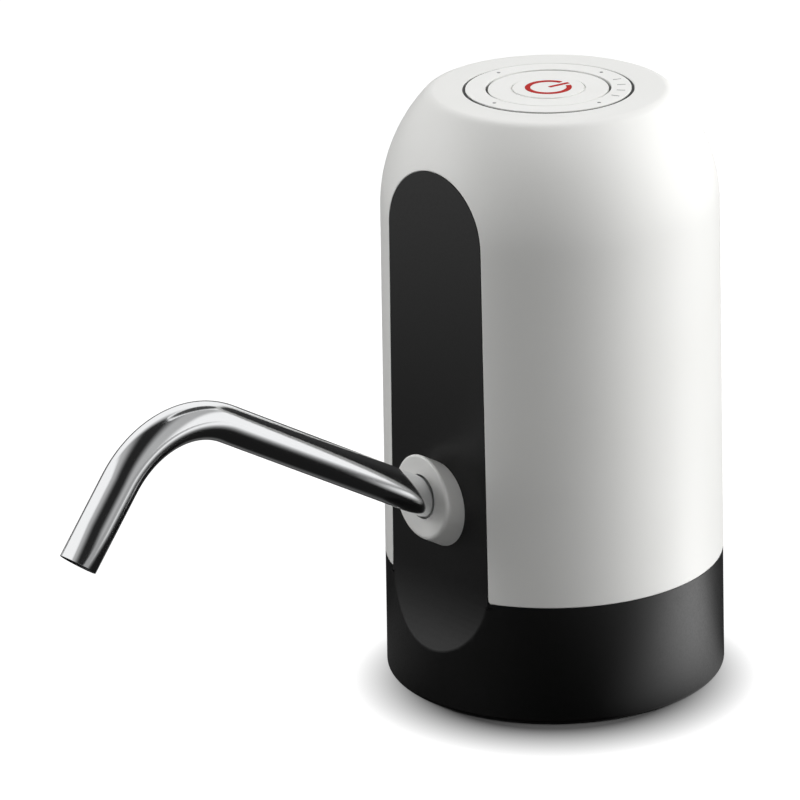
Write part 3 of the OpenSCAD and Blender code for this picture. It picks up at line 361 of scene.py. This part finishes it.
# Pressed fibre sheet: dull red brown with visible fibres.
red_gasket = grained("pressed_fibre_gasket", "#7B2F28", "#5E231D", 0.4, 4, 0.8, 0.08, 0.006, (0.3, 1, 1),
                     shows=0.6)
# Heat-shrunk PVC film: smooth blue with a slight ripple.
cell_sleeve = grained("shrunk_pvc_sleeve", "#3F6FB0", "#3563A3", 2.5, 20, 0.28, 0.05, 0.01, IOR=1.53)
# Cut foam rubber: open cells of about half a millimetre.
black_foam = grained("cut_foam", "#333333", "#171717", 0.5, 3, 0.9, 0.06, 0.1, pattern=CELLS, shows=0.8)
# Solder mask over copper tracks about 1.2 mm apart: glossy green, paler over the copper.
green_board = grained("solder_masked_board", "#2A7D49", "#134B29", 1.2, 5, 0.3, 0.05, 0.01,
                      pattern=TRACKS, shows=0.7, IOR=1.5)
# Moulded epoxy of chips and switches: sooty black, sand-blasted tool.
black_chip = grained("moulded_epoxy_chip", "#222426", "#2C2E30", 0.15, 3, 0.6, 0.08, 0.002, shows=0.4)
# Cast epoxy over a phosphor: pale yellow and clear at the skin.
pale_led = grained("cast_epoxy_lamp", "#E8E3C8", "#DFD8B6", 0.4, 2, 0.2, 0.04, 0.0005, IOR=1.5)
# Turned acrylic rod: clear, with faint rings from the tool on its face.
clear_lens = grained("turned_clear_acrylic", "#E6ECEC", "#DDE6E6", 0.3, 3, 0.15, 0.04, 0.0005,
                     pattern=LINES, IOR=1.49, **{"Transmission Weight": 0.85})
# Extruded PVC over stranded wire: soft sheen, a slight ripple along the lead.
red_wire = grained("extruded_red_pvc", "#C03028", "#AC2922", 0.9, 6, 0.4, 0.05, 0.004, IOR=1.53)
dark_wire = grained("extruded_dark_pvc", "#30323A", "#282A31", 0.9, 6, 0.4, 0.05, 0.004, IOR=1.53)
pale_wire = grained("extruded_pale_pvc", "#D8D8D4", "#CACAC6", 0.9, 6, 0.4, 0.05, 0.004, IOR=1.53)

FINISHES = {
    white_shell: ["outer_shell"],
    white_trim: ["button_bezel", "button_cap", "outlet_fitting", "switch_plunger"],
    black_base: ["base_body"],
    black_socket: ["socket_cup", "hose_nipple", "nipple_nut", "fitting_nut", "motor_end_cap"],
    steel_tube: ["spout_tube"],
    red_sign: ["power_icon"],
    clear_silicone: ["neck_seal", "outlet_hose"],
    black_rubber: ["spout_seals", "inlet_seal", "shaft_seal"],
    plated_screw: ["base_screws", "pump_screws", "board_screws", "switch_screws", "usb_socket"],
    ground_steel: ["motor_shaft", "idler_pin"],
    drawn_steel: ["motor_can"],
    brass_tab: ["motor_terminals"],
    bush_bronze: ["motor_bushes"],
    dark_magnet: ["motor_magnets"],
    copper_coil: ["motor_armature"],
    grey_nylon: ["inner_frame", "pump_cover", "pump_housing"],
    cream_acetal: ["drive_gear", "idler_gear"],
    red_gasket: ["pump_gasket"],
    cell_sleeve: ["battery_cell"],
    black_foam: ["cell_pad"],
    green_board: ["control_board", "switch_board"],
    black_chip: ["board_chips", "tact_switch"],
    pale_led: ["charge_led", "button_leds"],
    clear_lens: ["charge_lens"],
    red_wire: ["battery_leads"],
    dark_wire: ["motor_leads"],
    pale_wire: ["switch_leads"],
}
for finish, names in FINISHES.items():
    for name in names:
        nodes[name].data.materials.clear()
        nodes[name].data.materials.append(finish)


# White shell

BACK_COLUMNS = 150
ARCH_COLUMNS = 48
WALL_ROWS = 26
DOME_ROWS = 26
TOP_EDGE_ROWS = 8
FLAT_TOP_W = 3
TOP_FAN = radians(34)
SHELL_CORNER = radians(50)
SHELL_SHARP = radians(40)


def opening_half_width(z):
    """Half the width of the front opening below the arch, with its rounded lower corners."""
    side = OPENING_FOOT_X + (ARCH_R - OPENING_FOOT_X) * (z - SHELL_FOOT) / (ARCH_Z - SHELL_FOOT)
    drop = max(SHELL_FOOT + OPENING_CORNER_R - z, 0)
    return side + OPENING_CORNER_R - sqrt(OPENING_CORNER_R ** 2 - drop ** 2)


def shell_wall_rows():
    """Rows of the side wall from the foot to the spring of the arch, open at the front."""
    corner = [SHELL_FOOT + OPENING_CORNER_R * (1 - cos(radians(45 * k))) for k in range(3)]
    heights = corner + [corner[-1] + (ARCH_Z - corner[-1]) * k / WALL_ROWS for k in range(1, WALL_ROWS + 1)]
    for z in heights:
        edge = asin(opening_half_width(z) / wall_radius(z))
        yield [on_body(edge + (2 * pi - 2 * edge) * k / BACK_COLUMNS, wall_radius(z), z)
               for k in range(BACK_COLUMNS + 1)]


def shell_mesh():
    """Outer skin with the arched opening, thickened inwards, with rounded edges."""
    points = [p for row in shell_wall_rows() for p in row]
    wide = BACK_COLUMNS + 1
    faces = grid_faces(len(points) // wide, wide)

    # The dome's rows run from the arch and the spring line up to the edge of the flat top
    arch = [Vector((ARCH_R * cos(a), 0, ARCH_Z + ARCH_R * sin(a)))
            for a in (pi - pi * k / ARCH_COLUMNS for k in range(1, ARCH_COLUMNS))]
    for p in arch:
        p.y = -sqrt(DOME_R ** 2 - p.x ** 2 - (p.z - DOME_Z) ** 2)
    start = points[-wide:] + arch
    count = len(start)
    edge_z = BODY_H - TOP_EDGE_R
    edge_r = sqrt((DOME_R - TOP_EDGE_R) ** 2 - (edge_z - DOME_Z) ** 2)
    rise = atan2(edge_z - DOME_Z, edge_r)
    ends = [TOP_FAN + (2 * pi - 2 * TOP_FAN) * k / BACK_COLUMNS for k in range(wide)]
    ends += [2 * pi - TOP_FAN + 2 * TOP_FAN * k / ARCH_COLUMNS for k in range(1, ARCH_COLUMNS)]
    first = len(points)
    for i in range(DOME_ROWS + 1):
        t = i / DOME_ROWS
        for p, end in zip(start, ends):
            turn = atan2(p.x, -p.y) % (2 * pi)
            if end > 2 * pi - TOP_FAN and turn < pi:
                turn += 2 * pi
            low = asin((p.z - DOME_Z) / DOME_R)
            up = low + (rise - low) * t
            turn += (end - turn) * t
            points.append(on_body(turn, DOME_R * cos(up), DOME_Z + DOME_R * sin(up)))

    # Rounded edge of the flat top, the flat, and the step that holds the ring
    profile = [(edge_r + TOP_EDGE_R * cos(a), edge_z + TOP_EDGE_R * sin(a))
               for a in (rise + (pi / 2 - rise) * k / TOP_EDGE_ROWS for k in range(1, TOP_EDGE_ROWS + 1))]
    pocket_r = RING_R + RING_GAP
    profile += [(pocket_r + FLAT_TOP_W, BODY_H), (pocket_r, BODY_H), (pocket_r, RING_FOOT),
                (SKIRT_HOLE_R, RING_FOOT)]
    for radius, z in profile:
        points += [on_body(end, radius, z) for end in ends]
    faces += grid_faces(DOME_ROWS + 1 + len(profile), count, first, closed=True)

    skin = mesh_from("shell_skin", points, faces)
    return settled(skin, [
        ("SOLIDIFY", {"thickness": SHELL_WALL * MM, "offset": -1, "use_even_offset": True}),
        ("BEVEL", {"width": EDGE_ROUND * MM, "segments": 3, "limit_method": "ANGLE",
                   "angle_limit": SHELL_CORNER, "use_clamp_overlap": False})])


def slot_cutter(width, height, x, z):
    """A round-ended block through the shell's back wall."""
    points = []
    steps, deep, proud = 16, 6, 4
    radius, run = height / 2, (width - height) / 2
    for y in (BODY_R - deep, BODY_R + proud):
        for side in (1, -1):
            for k in range(steps + 1):
                a = pi * k / steps - side * pi / 2
                points.append((x + side * run + radius * cos(a), y, z + radius * sin(a)))
    half = len(points) // 2
    faces = grid_faces(2, half, closed=True) + [tuple(range(half)), tuple(range(half, 2 * half))]
    return mesh_from("cutter", points, faces)


def cut(mesh, cutters):
    """The mesh with closed cutters taken out of it."""
    for cutter in cutters:
        tool = bpy.data.objects.new("tool", cutter)
        bpy.context.scene.collection.objects.link(tool)
        mesh = settled(mesh, [("BOOLEAN", {"object": tool, "operation": "DIFFERENCE", "solver": "MANIFOLD"})])
        bpy.data.objects.remove(tool)
    # Cutting leaves an empty material slot, which would take the place of the finish
    mesh.materials.clear()
    return mesh


# The round hole for the lens is cut as a slot that is a hair longer than it is high
HAIR = 0.001
back_slots = [slot_cutter(PORT_W, PORT_H, 0, PORT_Z),
              slot_cutter(2 * LENS_HOLE_R + HAIR, 2 * LENS_HOLE_R, LENS_X, PORT_Z)]
shell = piece("shell", cut(shell_mesh(), back_slots), "housing", white_shell, "shell_white", "outer_shell")
shell.data.set_sharp_from_angle(angle=SHELL_SHARP)
even_shading(shell)


# Spout

SPOUT_OUT = Vector((0, -cos(SPOUT_RISE), sin(SPOUT_RISE)))
SPOUT_UP = Vector((0, sin(SPOUT_RISE), cos(SPOUT_RISE)))
SPOUT_START = Vector((0, -panel_distance(SPOUT_Z), SPOUT_Z))
SIDES = 96
RUN_STEPS = 12
BEND_STEPS = 48
LAST_RING = 8
TIP_ROUND = 0.15
TIP_EASE = 0.04
BORE_ROUND = 0.1
SEAT_ROUND = 0.2


def spout_place(s):
    """Centre and upward direction of the tube, s along its middle line from the panel's face."""
    if s <= SPOUT_RUN:
        return SPOUT_START + SPOUT_OUT * s, SPOUT_UP
    turn = min((s - SPOUT_RUN) / BEND_R, BEND_TURN)
    up = SPOUT_UP * cos(turn) + SPOUT_OUT * sin(turn)
    out = SPOUT_OUT * cos(turn) - SPOUT_UP * sin(turn)
    centre = SPOUT_START + SPOUT_OUT * SPOUT_RUN + (up - SPOUT_UP) * BEND_R
    return centre + out * max(s - SPOUT_RUN - BEND_R * BEND_TURN, 0), up


def spout_mesh():
    """The tube's outer and inner wall, with its ends broken slightly round."""
    end = SPOUT_RUN + BEND_R * BEND_TURN + SPOUT_TIP
    run = [SPOUT_RUN * k / RUN_STEPS for k in range(RUN_STEPS)]
    bend = [SPOUT_RUN + BEND_R * BEND_TURN * k / BEND_STEPS for k in range(BEND_STEPS + 1)]
    along = [-SPOUT_SEAT + SEAT_ROUND] + run + bend + [end - LAST_RING, end - TIP_ROUND]
    inner = SPOUT_R - SPOUT_WALL
    profile = [(s, SPOUT_R) for s in along]
    profile += [(end - TIP_EASE, SPOUT_R - TIP_EASE), (end, SPOUT_R - TIP_ROUND)]
    profile += [(end, inner + BORE_ROUND), (end - BORE_ROUND, inner)]
    profile += [(s, inner) for s in reversed(along[1:-1])]
    profile += [(-SPOUT_SEAT + BORE_ROUND, inner), (-SPOUT_SEAT, inner + BORE_ROUND)]
    profile += [(-SPOUT_SEAT, SPOUT_R - SEAT_ROUND)]
    points = []
    for s, radius in profile + profile[:1]:
        centre, up = spout_place(s)
        points += [centre + radius * (Vector((sin(a), 0, 0)) + up * cos(a))
                   for a in (2 * pi * k / SIDES for k in range(SIDES))]
    mesh = mesh_from("spout", points, grid_faces(len(profile) + 1, SIDES, closed=True))
    # The faces after the outer wall and its rounded tip are the cut ends and the bore, which take the dark
    # grey of painted shade
    for face in mesh.polygons[(len(along) + 1) * SIDES:]:
        face.material_index = 1
    return mesh


spout = piece("spout", spout_mesh(), "spout", steel_tube, "spout_steel", "spout_tube")
# The bore and the cut ends get the dull dark grey of painted shade
spout.data.materials.append(bore_painted_shade)


# Collar round the spout, button, ring and black base

# How near a point is when it counts as on a face, or at an edge
ON_FACE = 0.02
AT_EDGE = 0.1


def off_spout_axis(p):
    """Distance from the spout's axis."""
    away = p - SPOUT_START
    return (away - SPOUT_OUT * away.dot(SPOUT_OUT)).length


def on_collar_face(p):
    """True on the collar's upright front face."""
    return abs(p.y - SPOUT_START.y + COLLAR_OUT) < ON_FACE


def collar_mesh():
    """The outlet fitting, with a full rounding round the collar's face and a small one at its hole."""
    edit = cad_copy("outlet_fitting")
    face = [f for f in edit.faces if all(on_collar_face(v.co / MM) for v in f.verts)]
    rims = [e for e in edit.edges if sum(f in face for f in e.link_faces) == 1]
    bmesh.ops.delete(edit, geom=face, context="FACES")
    bmesh.ops.bridge_loops(edit, edges=rims)
    bmesh.ops.recalc_face_normals(edit, faces=edit.faces)
    soften(edit, COLLAR_HOLE_ROUND, 2,
           lambda p: on_collar_face(p) and off_spout_axis(p) < COLLAR_HOLE_R + AT_EDGE)
    soften(edit, COLLAR_ROUND, 6, lambda p: on_collar_face(p) and off_spout_axis(p) > COLLAR_HOLE_R + 1)
    return finished("collar", edit)


def button_mesh():
    """The button, with its rim and the edge of its raised disc rounded."""
    edit = cad_copy("button_cap")
    soften(edit, BUTTON_ROUND, 3,
           lambda p: abs(p.z - BODY_H) < ON_FACE and hypot(p.x, p.y) > BUTTON_R - AT_EDGE)
    soften(edit, DISC_ROUND, 2, lambda p: p.z > BODY_H + AT_EDGE and hypot(p.x, p.y) > DISC_R - AT_EDGE)
    return finished("button", edit)


def ring_mesh():
    """The ring round the button, with rounded top edges."""
    inner = BUTTON_R + BUTTON_GAP
    outer = RING_R - RING_TRIM
    profile = [(inner, RING_FOOT), (outer, RING_FOOT)]
    profile += arc(outer - RING_ROUND, RING_FACE - RING_ROUND, RING_ROUND, 0, 90, 4)
    profile += arc(inner + RING_ROUND, RING_FACE - RING_ROUND, RING_ROUND, 90, 180, 4)
    return turned("ring", profile, RING_SIDES)


def on_scoop_lip(p):
    """True where the scoop meets the base's wall, clear of the foot and of the shell."""
    above_foot, below_shell, off_wall = 3, 0.5, 0.05
    return (p.y < 0 and above_foot < p.z < SHELL_FOOT - below_shell
            and hypot(p.x, p.y) > wall_radius(p.z) - off_wall)


def base_mesh():
    """The black base and panel, with the lip of the scoop softened."""
    edit = cad_copy("base_body")
    soften(edit, LIP_ROUND, 3, on_scoop_lip)
    return finished("base", edit)


for name, mesh, body, finish, slot, node in (
        ("collar", collar_mesh(), "housing", white_trim, "collar_white", "outlet_fitting"),
        ("button", button_mesh(), "button", white_trim, "button_white", "button_cap"),
        ("ring", ring_mesh(), "housing", white_trim, "button_white", "button_bezel"),
        ("base", base_mesh(), "housing", black_base, "base_black", "base_body")):
    even_shading(piece(name, mesh, body, finish, slot, node))


# Painted shade in the groove beside the ring, and print on the ring

RING_MIDDLE = (RING_R + BUTTON_R + RING_GAP) / 2
# A dark ring in the groove between the ring and the shell, up to just below the top: painted shade, not a
# part
GROOVE_SHADE_IN = RING_R - 0.15
GROOVE_SHADE_OUT = RING_R + RING_GAP - 0.05
GROOVE_SHADE_TOP = BODY_H - 0.13
PRINT_T = 0.02
DOT_R = 0.4
DOT_SIDES = 24
TICKS = 4
TICK_START = 112
TICK_STEP = 15
TICK_L = 0.9
TICK_W = 0.14


def print_mesh():
    """Four dots on the ring and a short run of tick marks, a film of ink on the plastic."""
    outlines = []
    for turn in (0, 90, 180, 270):
        centre = on_body(radians(turn), RING_MIDDLE, RING_FACE)
        outlines.append([centre + Vector((DOT_R * cos(a), DOT_R * sin(a), 0))
                         for a in (2 * pi * k / DOT_SIDES for k in range(DOT_SIDES))])
    tick = ((-TICK_L, -TICK_W), (TICK_L, -TICK_W), (TICK_L, TICK_W), (-TICK_L, TICK_W))
    for k in range(TICKS):
        turn = radians(TICK_START + TICK_STEP * k)
        out = on_body(turn, 1, 0)
        side = Vector((-out.y, out.x, 0))
        outlines.append([on_body(turn, RING_MIDDLE, RING_FACE) + out * r + side * w for r, w in tick])
    points, faces = [], []
    for outline in outlines:
        count, first = len(outline), len(points)
        points += outline + [p + Vector((0, 0, PRINT_T)) for p in outline]
        faces += grid_faces(2, count, first, closed=True)
        faces += [tuple(range(first, first + count)), tuple(range(first + count, first + 2 * count))]
    return mesh_from("ring_print", points, faces)


# Painted shade: a ring in the black rubber finish fills the groove where shade falls in the gap
groove_shade = [(GROOVE_SHADE_IN, RING_FOOT), (GROOVE_SHADE_OUT, RING_FOOT), (GROOVE_SHADE_OUT, GROOVE_SHADE_TOP), (GROOVE_SHADE_IN, GROOVE_SHADE_TOP)]
piece("ring_groove_painted_shade", turned("ring_groove_painted_shade", groove_shade, RING_SIDES), "housing", black_rubber, "seal_black")
piece("ring_print", print_mesh(), "housing", grey_ink, "chip_black")


# Stage: camera, floor, light

LENS = 231.5
CAMERA_AWAY = 1040.4
CAMERA_UP = 446.8
CAMERA_ROLL = radians(-1.36)
AIM_RIGHT = -32.86
AIM_UP = 60.61
VIEW_TURN = radians(47)
TOWARDS_CAMERA = Vector((sin(VIEW_TURN), -cos(VIEW_TURN), 0))
CAMERA_RIGHT = Vector((cos(VIEW_TURN), sin(VIEW_TURN), 0))
BODY_MIDDLE = Vector((0, 0, 65))


def set_camera():
    """Camera at the photograph's place, with a long lens and a slight roll."""
    data = bpy.data.cameras.new("camera")
    data.sensor_width = 36
    data.lens = LENS
    data.clip_end = 20
    made = bpy.data.objects.new("camera", data)
    bpy.context.scene.collection.objects.link(made)
    bpy.context.scene.camera = made
    place = TOWARDS_CAMERA * CAMERA_AWAY + Vector((0, 0, CAMERA_UP))
    target = CAMERA_RIGHT * AIM_RIGHT + Vector((0, 0, AIM_UP))
    ahead = (target - place).normalized()
    right = ahead.cross(Vector((0, 0, 1))).normalized()
    up = right.cross(ahead)
    across = right * cos(CAMERA_ROLL) + up * sin(CAMERA_ROLL)
    upright = up * cos(CAMERA_ROLL) - right * sin(CAMERA_ROLL)
    aimed = Matrix((across, upright, -ahead)).transposed().to_4x4()
    made.matrix_world = Matrix.Translation(place * MM) @ aimed


def seen_light(tree):
    """1 for what the camera, a mirror or glass sees, 0 for light that falls on a surface."""
    path = add(tree, "LightPath")
    some = add(tree, "Math", {0: path.outputs["Is Camera Ray"], 1: path.outputs["Is Glossy Ray"]},
               operation="MAXIMUM")
    return add(tree, "Math", {0: some.outputs[0], 1: path.outputs["Is Transmission Ray"]},
               operation="MAXIMUM").outputs[0]


def set_world():
    """White to the eye and in reflections, a dim even grey as light."""
    world = bpy.data.worlds.new("studio")
    world.use_nodes = True
    tree = world.node_tree
    tree.nodes.clear()
    dim = add(tree, "Background", {"Color": rgb("#FFFFFF"), "Strength": 0.03})
    white = add(tree, "Background", {"Color": rgb("#FFFFFF"), "Strength": 1.0})
    mixed = add(tree, "MixShader", {0: seen_light(tree), 1: dim.outputs[0], 2: white.outputs[0]})
    add(tree, "OutputWorld", {"Surface": mixed.outputs[0]})
    bpy.context.scene.world = world


def sheet(right, front, back, up=0):
    """Corners of a level sheet that reaches equally far to both sides."""
    return [(-right, -front, up), (right, -front, up), (right, back, up), (-right, back, up)]


def stage_sheet(name, points, faces, finish, **seen_by):
    """A sheet of the studio, with points in millimetres to the camera's right, away from it and up."""
    mesh = mesh_from(name, points, faces)
    mesh.materials.append(finish)
    made = bpy.data.objects.new(name, mesh)
    made.matrix_world = Matrix((CAMERA_RIGHT, -TOWARDS_CAMERA, Vector((0, 0, 1)))).transposed().to_4x4()
    bpy.context.scene.collection.objects.link(made)
    for ray, seen in seen_by.items():
        setattr(made, "visible_" + ray, seen)
    return made


def fade(tree, value, start, end, low=0.0):
    """A soft rise from low to 1 while a length in metres goes between two lengths in millimetres."""
    return add(tree, "MapRange", {"Value": value, "From Min": start * MM, "From Max": end * MM,
                                  "To Min": low, "To Max": 1.0},
               interpolation_type="SMOOTHSTEP").outputs[0]


def set_floor():
    """White paper floor that reads as white, with a painted shadow in front of the foot over the real soft
    shadow.
    """
    painted_shadow_y, painted_shadow_r, painted_shadow_end_r, half = -10, 29, 44.5, 3000
    paper, tree = new_tree("white_paper_floor")
    seen = seen_light(tree)
    # Part of the painted shadow: to the eye the floor is a darker grey than the grey that lights the object
    shade = add(tree, "MixRGB", {"Fac": seen, "Color1": rgb("#929292"), "Color2": rgb("#606060")})
    grey = add(tree, "BsdfDiffuse", {"Color": shade.outputs[0]})
    place = add(tree, "TexCoord").outputs["Object"]
    middle = (0, painted_shadow_y * MM, 0)
    away = add(tree, "VectorMath", {0: place, 1: middle}, operation="DISTANCE").outputs["Value"]
    # Painted shadow: the white glow rises only between these two distances from a point just in front of the
    # body, so near the foot the floor stays grey
    white = add(tree, "MapRange", {"Value": away, "From Min": painted_shadow_r * MM, "From Max": painted_shadow_end_r * MM})
    lift = add(tree, "Math", {0: white.outputs[0], 1: seen}, operation="MULTIPLY")
    glow = add(tree, "Emission", {"Color": rgb("#FFFFFF"), "Strength": lift.outputs[0]})
    both = add(tree, "AddShader", {0: grey.outputs[0], 1: glow.outputs[0]})
    add(tree, "OutputMaterial", {"Surface": both.outputs[0]})
    stage_sheet("floor", sheet(half, half, half), [(0, 1, 2, 3)], paper)


# Painted reflections: sheets that only mirrors see, dark or glowing
ONLY_MIRRORED = {"camera": False, "diffuse": False, "transmission": False, "shadow": False}


def painted_reflection_spot(tree, place, right, away, turn, long, wide, level):
    """An oval painted highlight in the floor's painted reflection, with soft edges.

    Its middle and its half sizes are in millimetres, its turn is in degrees. It has its full
    level from the middle to a share of its half sizes, the core.
    """
    core = 0.25
    moved = add(tree, "Mapping", {"Vector": place, "Location": (right * MM, away * MM, 0),
                                  "Rotation": (0, 0, radians(turn)),
                                  "Scale": (long * MM, wide * MM, 1)}, vector_type="TEXTURE")
    out = add(tree, "VectorMath", {0: moved.outputs[0]}, operation="LENGTH").outputs["Value"]
    return add(tree, "MapRange", {"Value": out, "From Min": core, "From Max": 1.0,
                                  "To Min": level, "To Max": 0.0},
               interpolation_type="SMOOTHSTEP").outputs[0]


def set_painted_floor_reflection():
    """Painted reflection: a dark sheet on the floor that only reflections see.

    It is paler far off and to the left, grey in front, and has two glowing ovals on the right and a faint one
    on the left: painted highlights.
    """
    reflection_paint, tree = new_tree("dark_painted_floor_reflection")
    place = add(tree, "TexCoord").outputs["Object"]
    aslant = add(tree, "VectorMath", {0: place, 1: (0.8, -0.6, 0)}, operation="DOT_PRODUCT").outputs["Value"]
    left = add(tree, "VectorMath", {0: place, 1: (-1, 0, 0)}, operation="DOT_PRODUCT").outputs["Value"]
    away = add(tree, "VectorMath", {0: place, 1: (0, 150 * MM, 0)}, operation="DISTANCE").outputs["Value"]
    behind = add(tree, "VectorMath", {0: place, 1: (0, 1, 0)}, operation="DOT_PRODUCT").outputs["Value"]
    far = add(tree, "Math", {0: fade(tree, aslant, 60, 240, 0.01), 1: fade(tree, away, 550, 1060)},
              operation="MAXIMUM").outputs[0]
    glow = add(tree, "Math", {0: far, 1: fade(tree, behind, -210, -125, 0.36)},
               operation="MINIMUM").outputs[0]
    for other in (fade(tree, left, 150, 640),
                  painted_reflection_spot(tree, place, 100, -10, 21, 97, 43, 3.2),
                  painted_reflection_spot(tree, place, 225, 20, 12, 150, 80, 1.8),
                  painted_reflection_spot(tree, place, -85, 0, 0, 90, 40, 0.12)):
        glow = add(tree, "Math", {0: glow, 1: other}, operation="MAXIMUM").outputs[0]
    add(tree, "OutputMaterial", {"Surface": add(tree, "Emission", {"Strength": glow}).outputs[0]})
    stage_sheet("floor_painted_reflection", sheet(1060, 820, 1310, 0.5), [(0, 1, 2, 3)], reflection_paint, **ONLY_MIRRORED)


def set_painted_canopy_reflection():
    """Painted reflection: a dark sheet arched over the spout from the front to behind it, seen only in
    reflections, fading out at its sides and its end.
    """
    canopy_paint, tree = new_tree("dark_painted_canopy_reflection")
    place = add(tree, "SeparateXYZ", {0: add(tree, "TexCoord").outputs["Object"]})
    side = add(tree, "Math", {0: place.outputs["X"]}, operation="ABSOLUTE").outputs[0]
    pale = add(tree, "Math", {0: fade(tree, side, 130, 520, 0.04), 1: 0.45}, operation="MULTIPLY").outputs[0]
    for edge in (fade(tree, place.outputs["X"], -420, -780), fade(tree, place.outputs["X"], 600, 1450),
                 fade(tree, place.outputs["Y"], 60, 440)):
        pale = add(tree, "Math", {0: pale, 1: edge}, operation="MAXIMUM").outputs[0]
    add(tree, "OutputMaterial", {"Surface": add(tree, "Emission", {"Strength": pale}).outputs[0]})
    steps, reach, half = 30, 700, 1450
    first, last = -5, 130
    turns = [radians(first + (last - first) * k / steps) for k in range(steps + 1)]
    points = [(x, -reach * cos(a), reach * sin(a)) for a in turns for x in (-half, half)]
    made = stage_sheet("canopy", points, grid_faces(steps + 1, 2), canopy_paint, **ONLY_MIRRORED)
    middle = CAMERA_RIGHT * -70 + BODY_MIDDLE
    swung = Matrix.Rotation(radians(8), 4, "Z")
    made.matrix_world = Matrix.Translation(middle * MM) @ swung @ made.matrix_world


def facing(turn, rise, away):
    """Where a thing stands, by its angle to the right of the camera and above the floor.

    It faces the middle of the body.
    """
    turn, rise = radians(turn), radians(rise)
    level_dir = TOWARDS_CAMERA * cos(turn) + CAMERA_RIGHT * sin(turn)
    offset = (level_dir * cos(rise) + Vector((0, 0, sin(rise)))) * away
    faced = (-offset).to_track_quat("-Z", "Y").to_matrix().to_4x4()
    return Matrix.Translation((BODY_MIDDLE + offset) * MM) @ faced


def painted_reflection_card(name, turn, rise, away, width, height, level):
    """A painted dark reflection with soft edges, a sheet that only reflections see; level is its middle, 1 is
    white.
    """
    half = 1000
    reflection_paint, tree = new_tree(name)
    place = add(tree, "TexCoord").outputs["Object"]
    out = add(tree, "VectorMath", {0: place}, operation="LENGTH").outputs["Value"]
    pale = fade(tree, out, 650, half, level)
    add(tree, "OutputMaterial", {"Surface": add(tree, "Emission", {"Strength": pale}).outputs[0]})
    made = stage_sheet(name, sheet(half, half, half), [(0, 1, 2, 3)], reflection_paint, **ONLY_MIRRORED)
    fitted = Matrix.Diagonal((width / (2 * half), height / (2 * half), 1, 1))
    made.matrix_world = facing(turn, rise, away) @ fitted


def lamp(name, turn, rise, away, width, height, level):
    """A soft box, placed by its angle to the right of the camera and its angle above the floor.

    level is the brightness that it gives to white paper held square to it. Reflections see the white room and
    the painted reflections instead of its hard edge.
    """
    data = bpy.data.lights.new(name, "AREA")
    data.shape = "RECTANGLE"
    data.size, data.size_y = width * MM, height * MM
    data.energy = level * (pi * away * MM) ** 2
    made = bpy.data.objects.new(name, data)
    bpy.context.scene.collection.objects.link(made)
    made.visible_glossy = False
    made.matrix_world = facing(turn, rise, away)


set_camera()
set_world()
set_floor()
# Painted reflections for the steel and the gloss of the plastics: dark sheets and glowing ovals that only
# reflections see
set_painted_floor_reflection()
set_painted_canopy_reflection()
painted_reflection_card("painted_reflection_right_back", 138, 58, 640, 320, 640, 0.06)
painted_reflection_card("painted_reflection_back", 200, -10, 700, 1500, 620, 0.06)
lamp("key_right", 89, 15, 800, 580, 800, 1.5)
lamp("side_left", -88, 25, 800, 600, 450, 0.55)
lamp("fill_front", 10, 60, 800, 500, 400, 0.28)
lamp("top_back", 180, 55, 800, 700, 500, 0.27)
bpy.context.scene.view_settings.view_transform = "Standard"
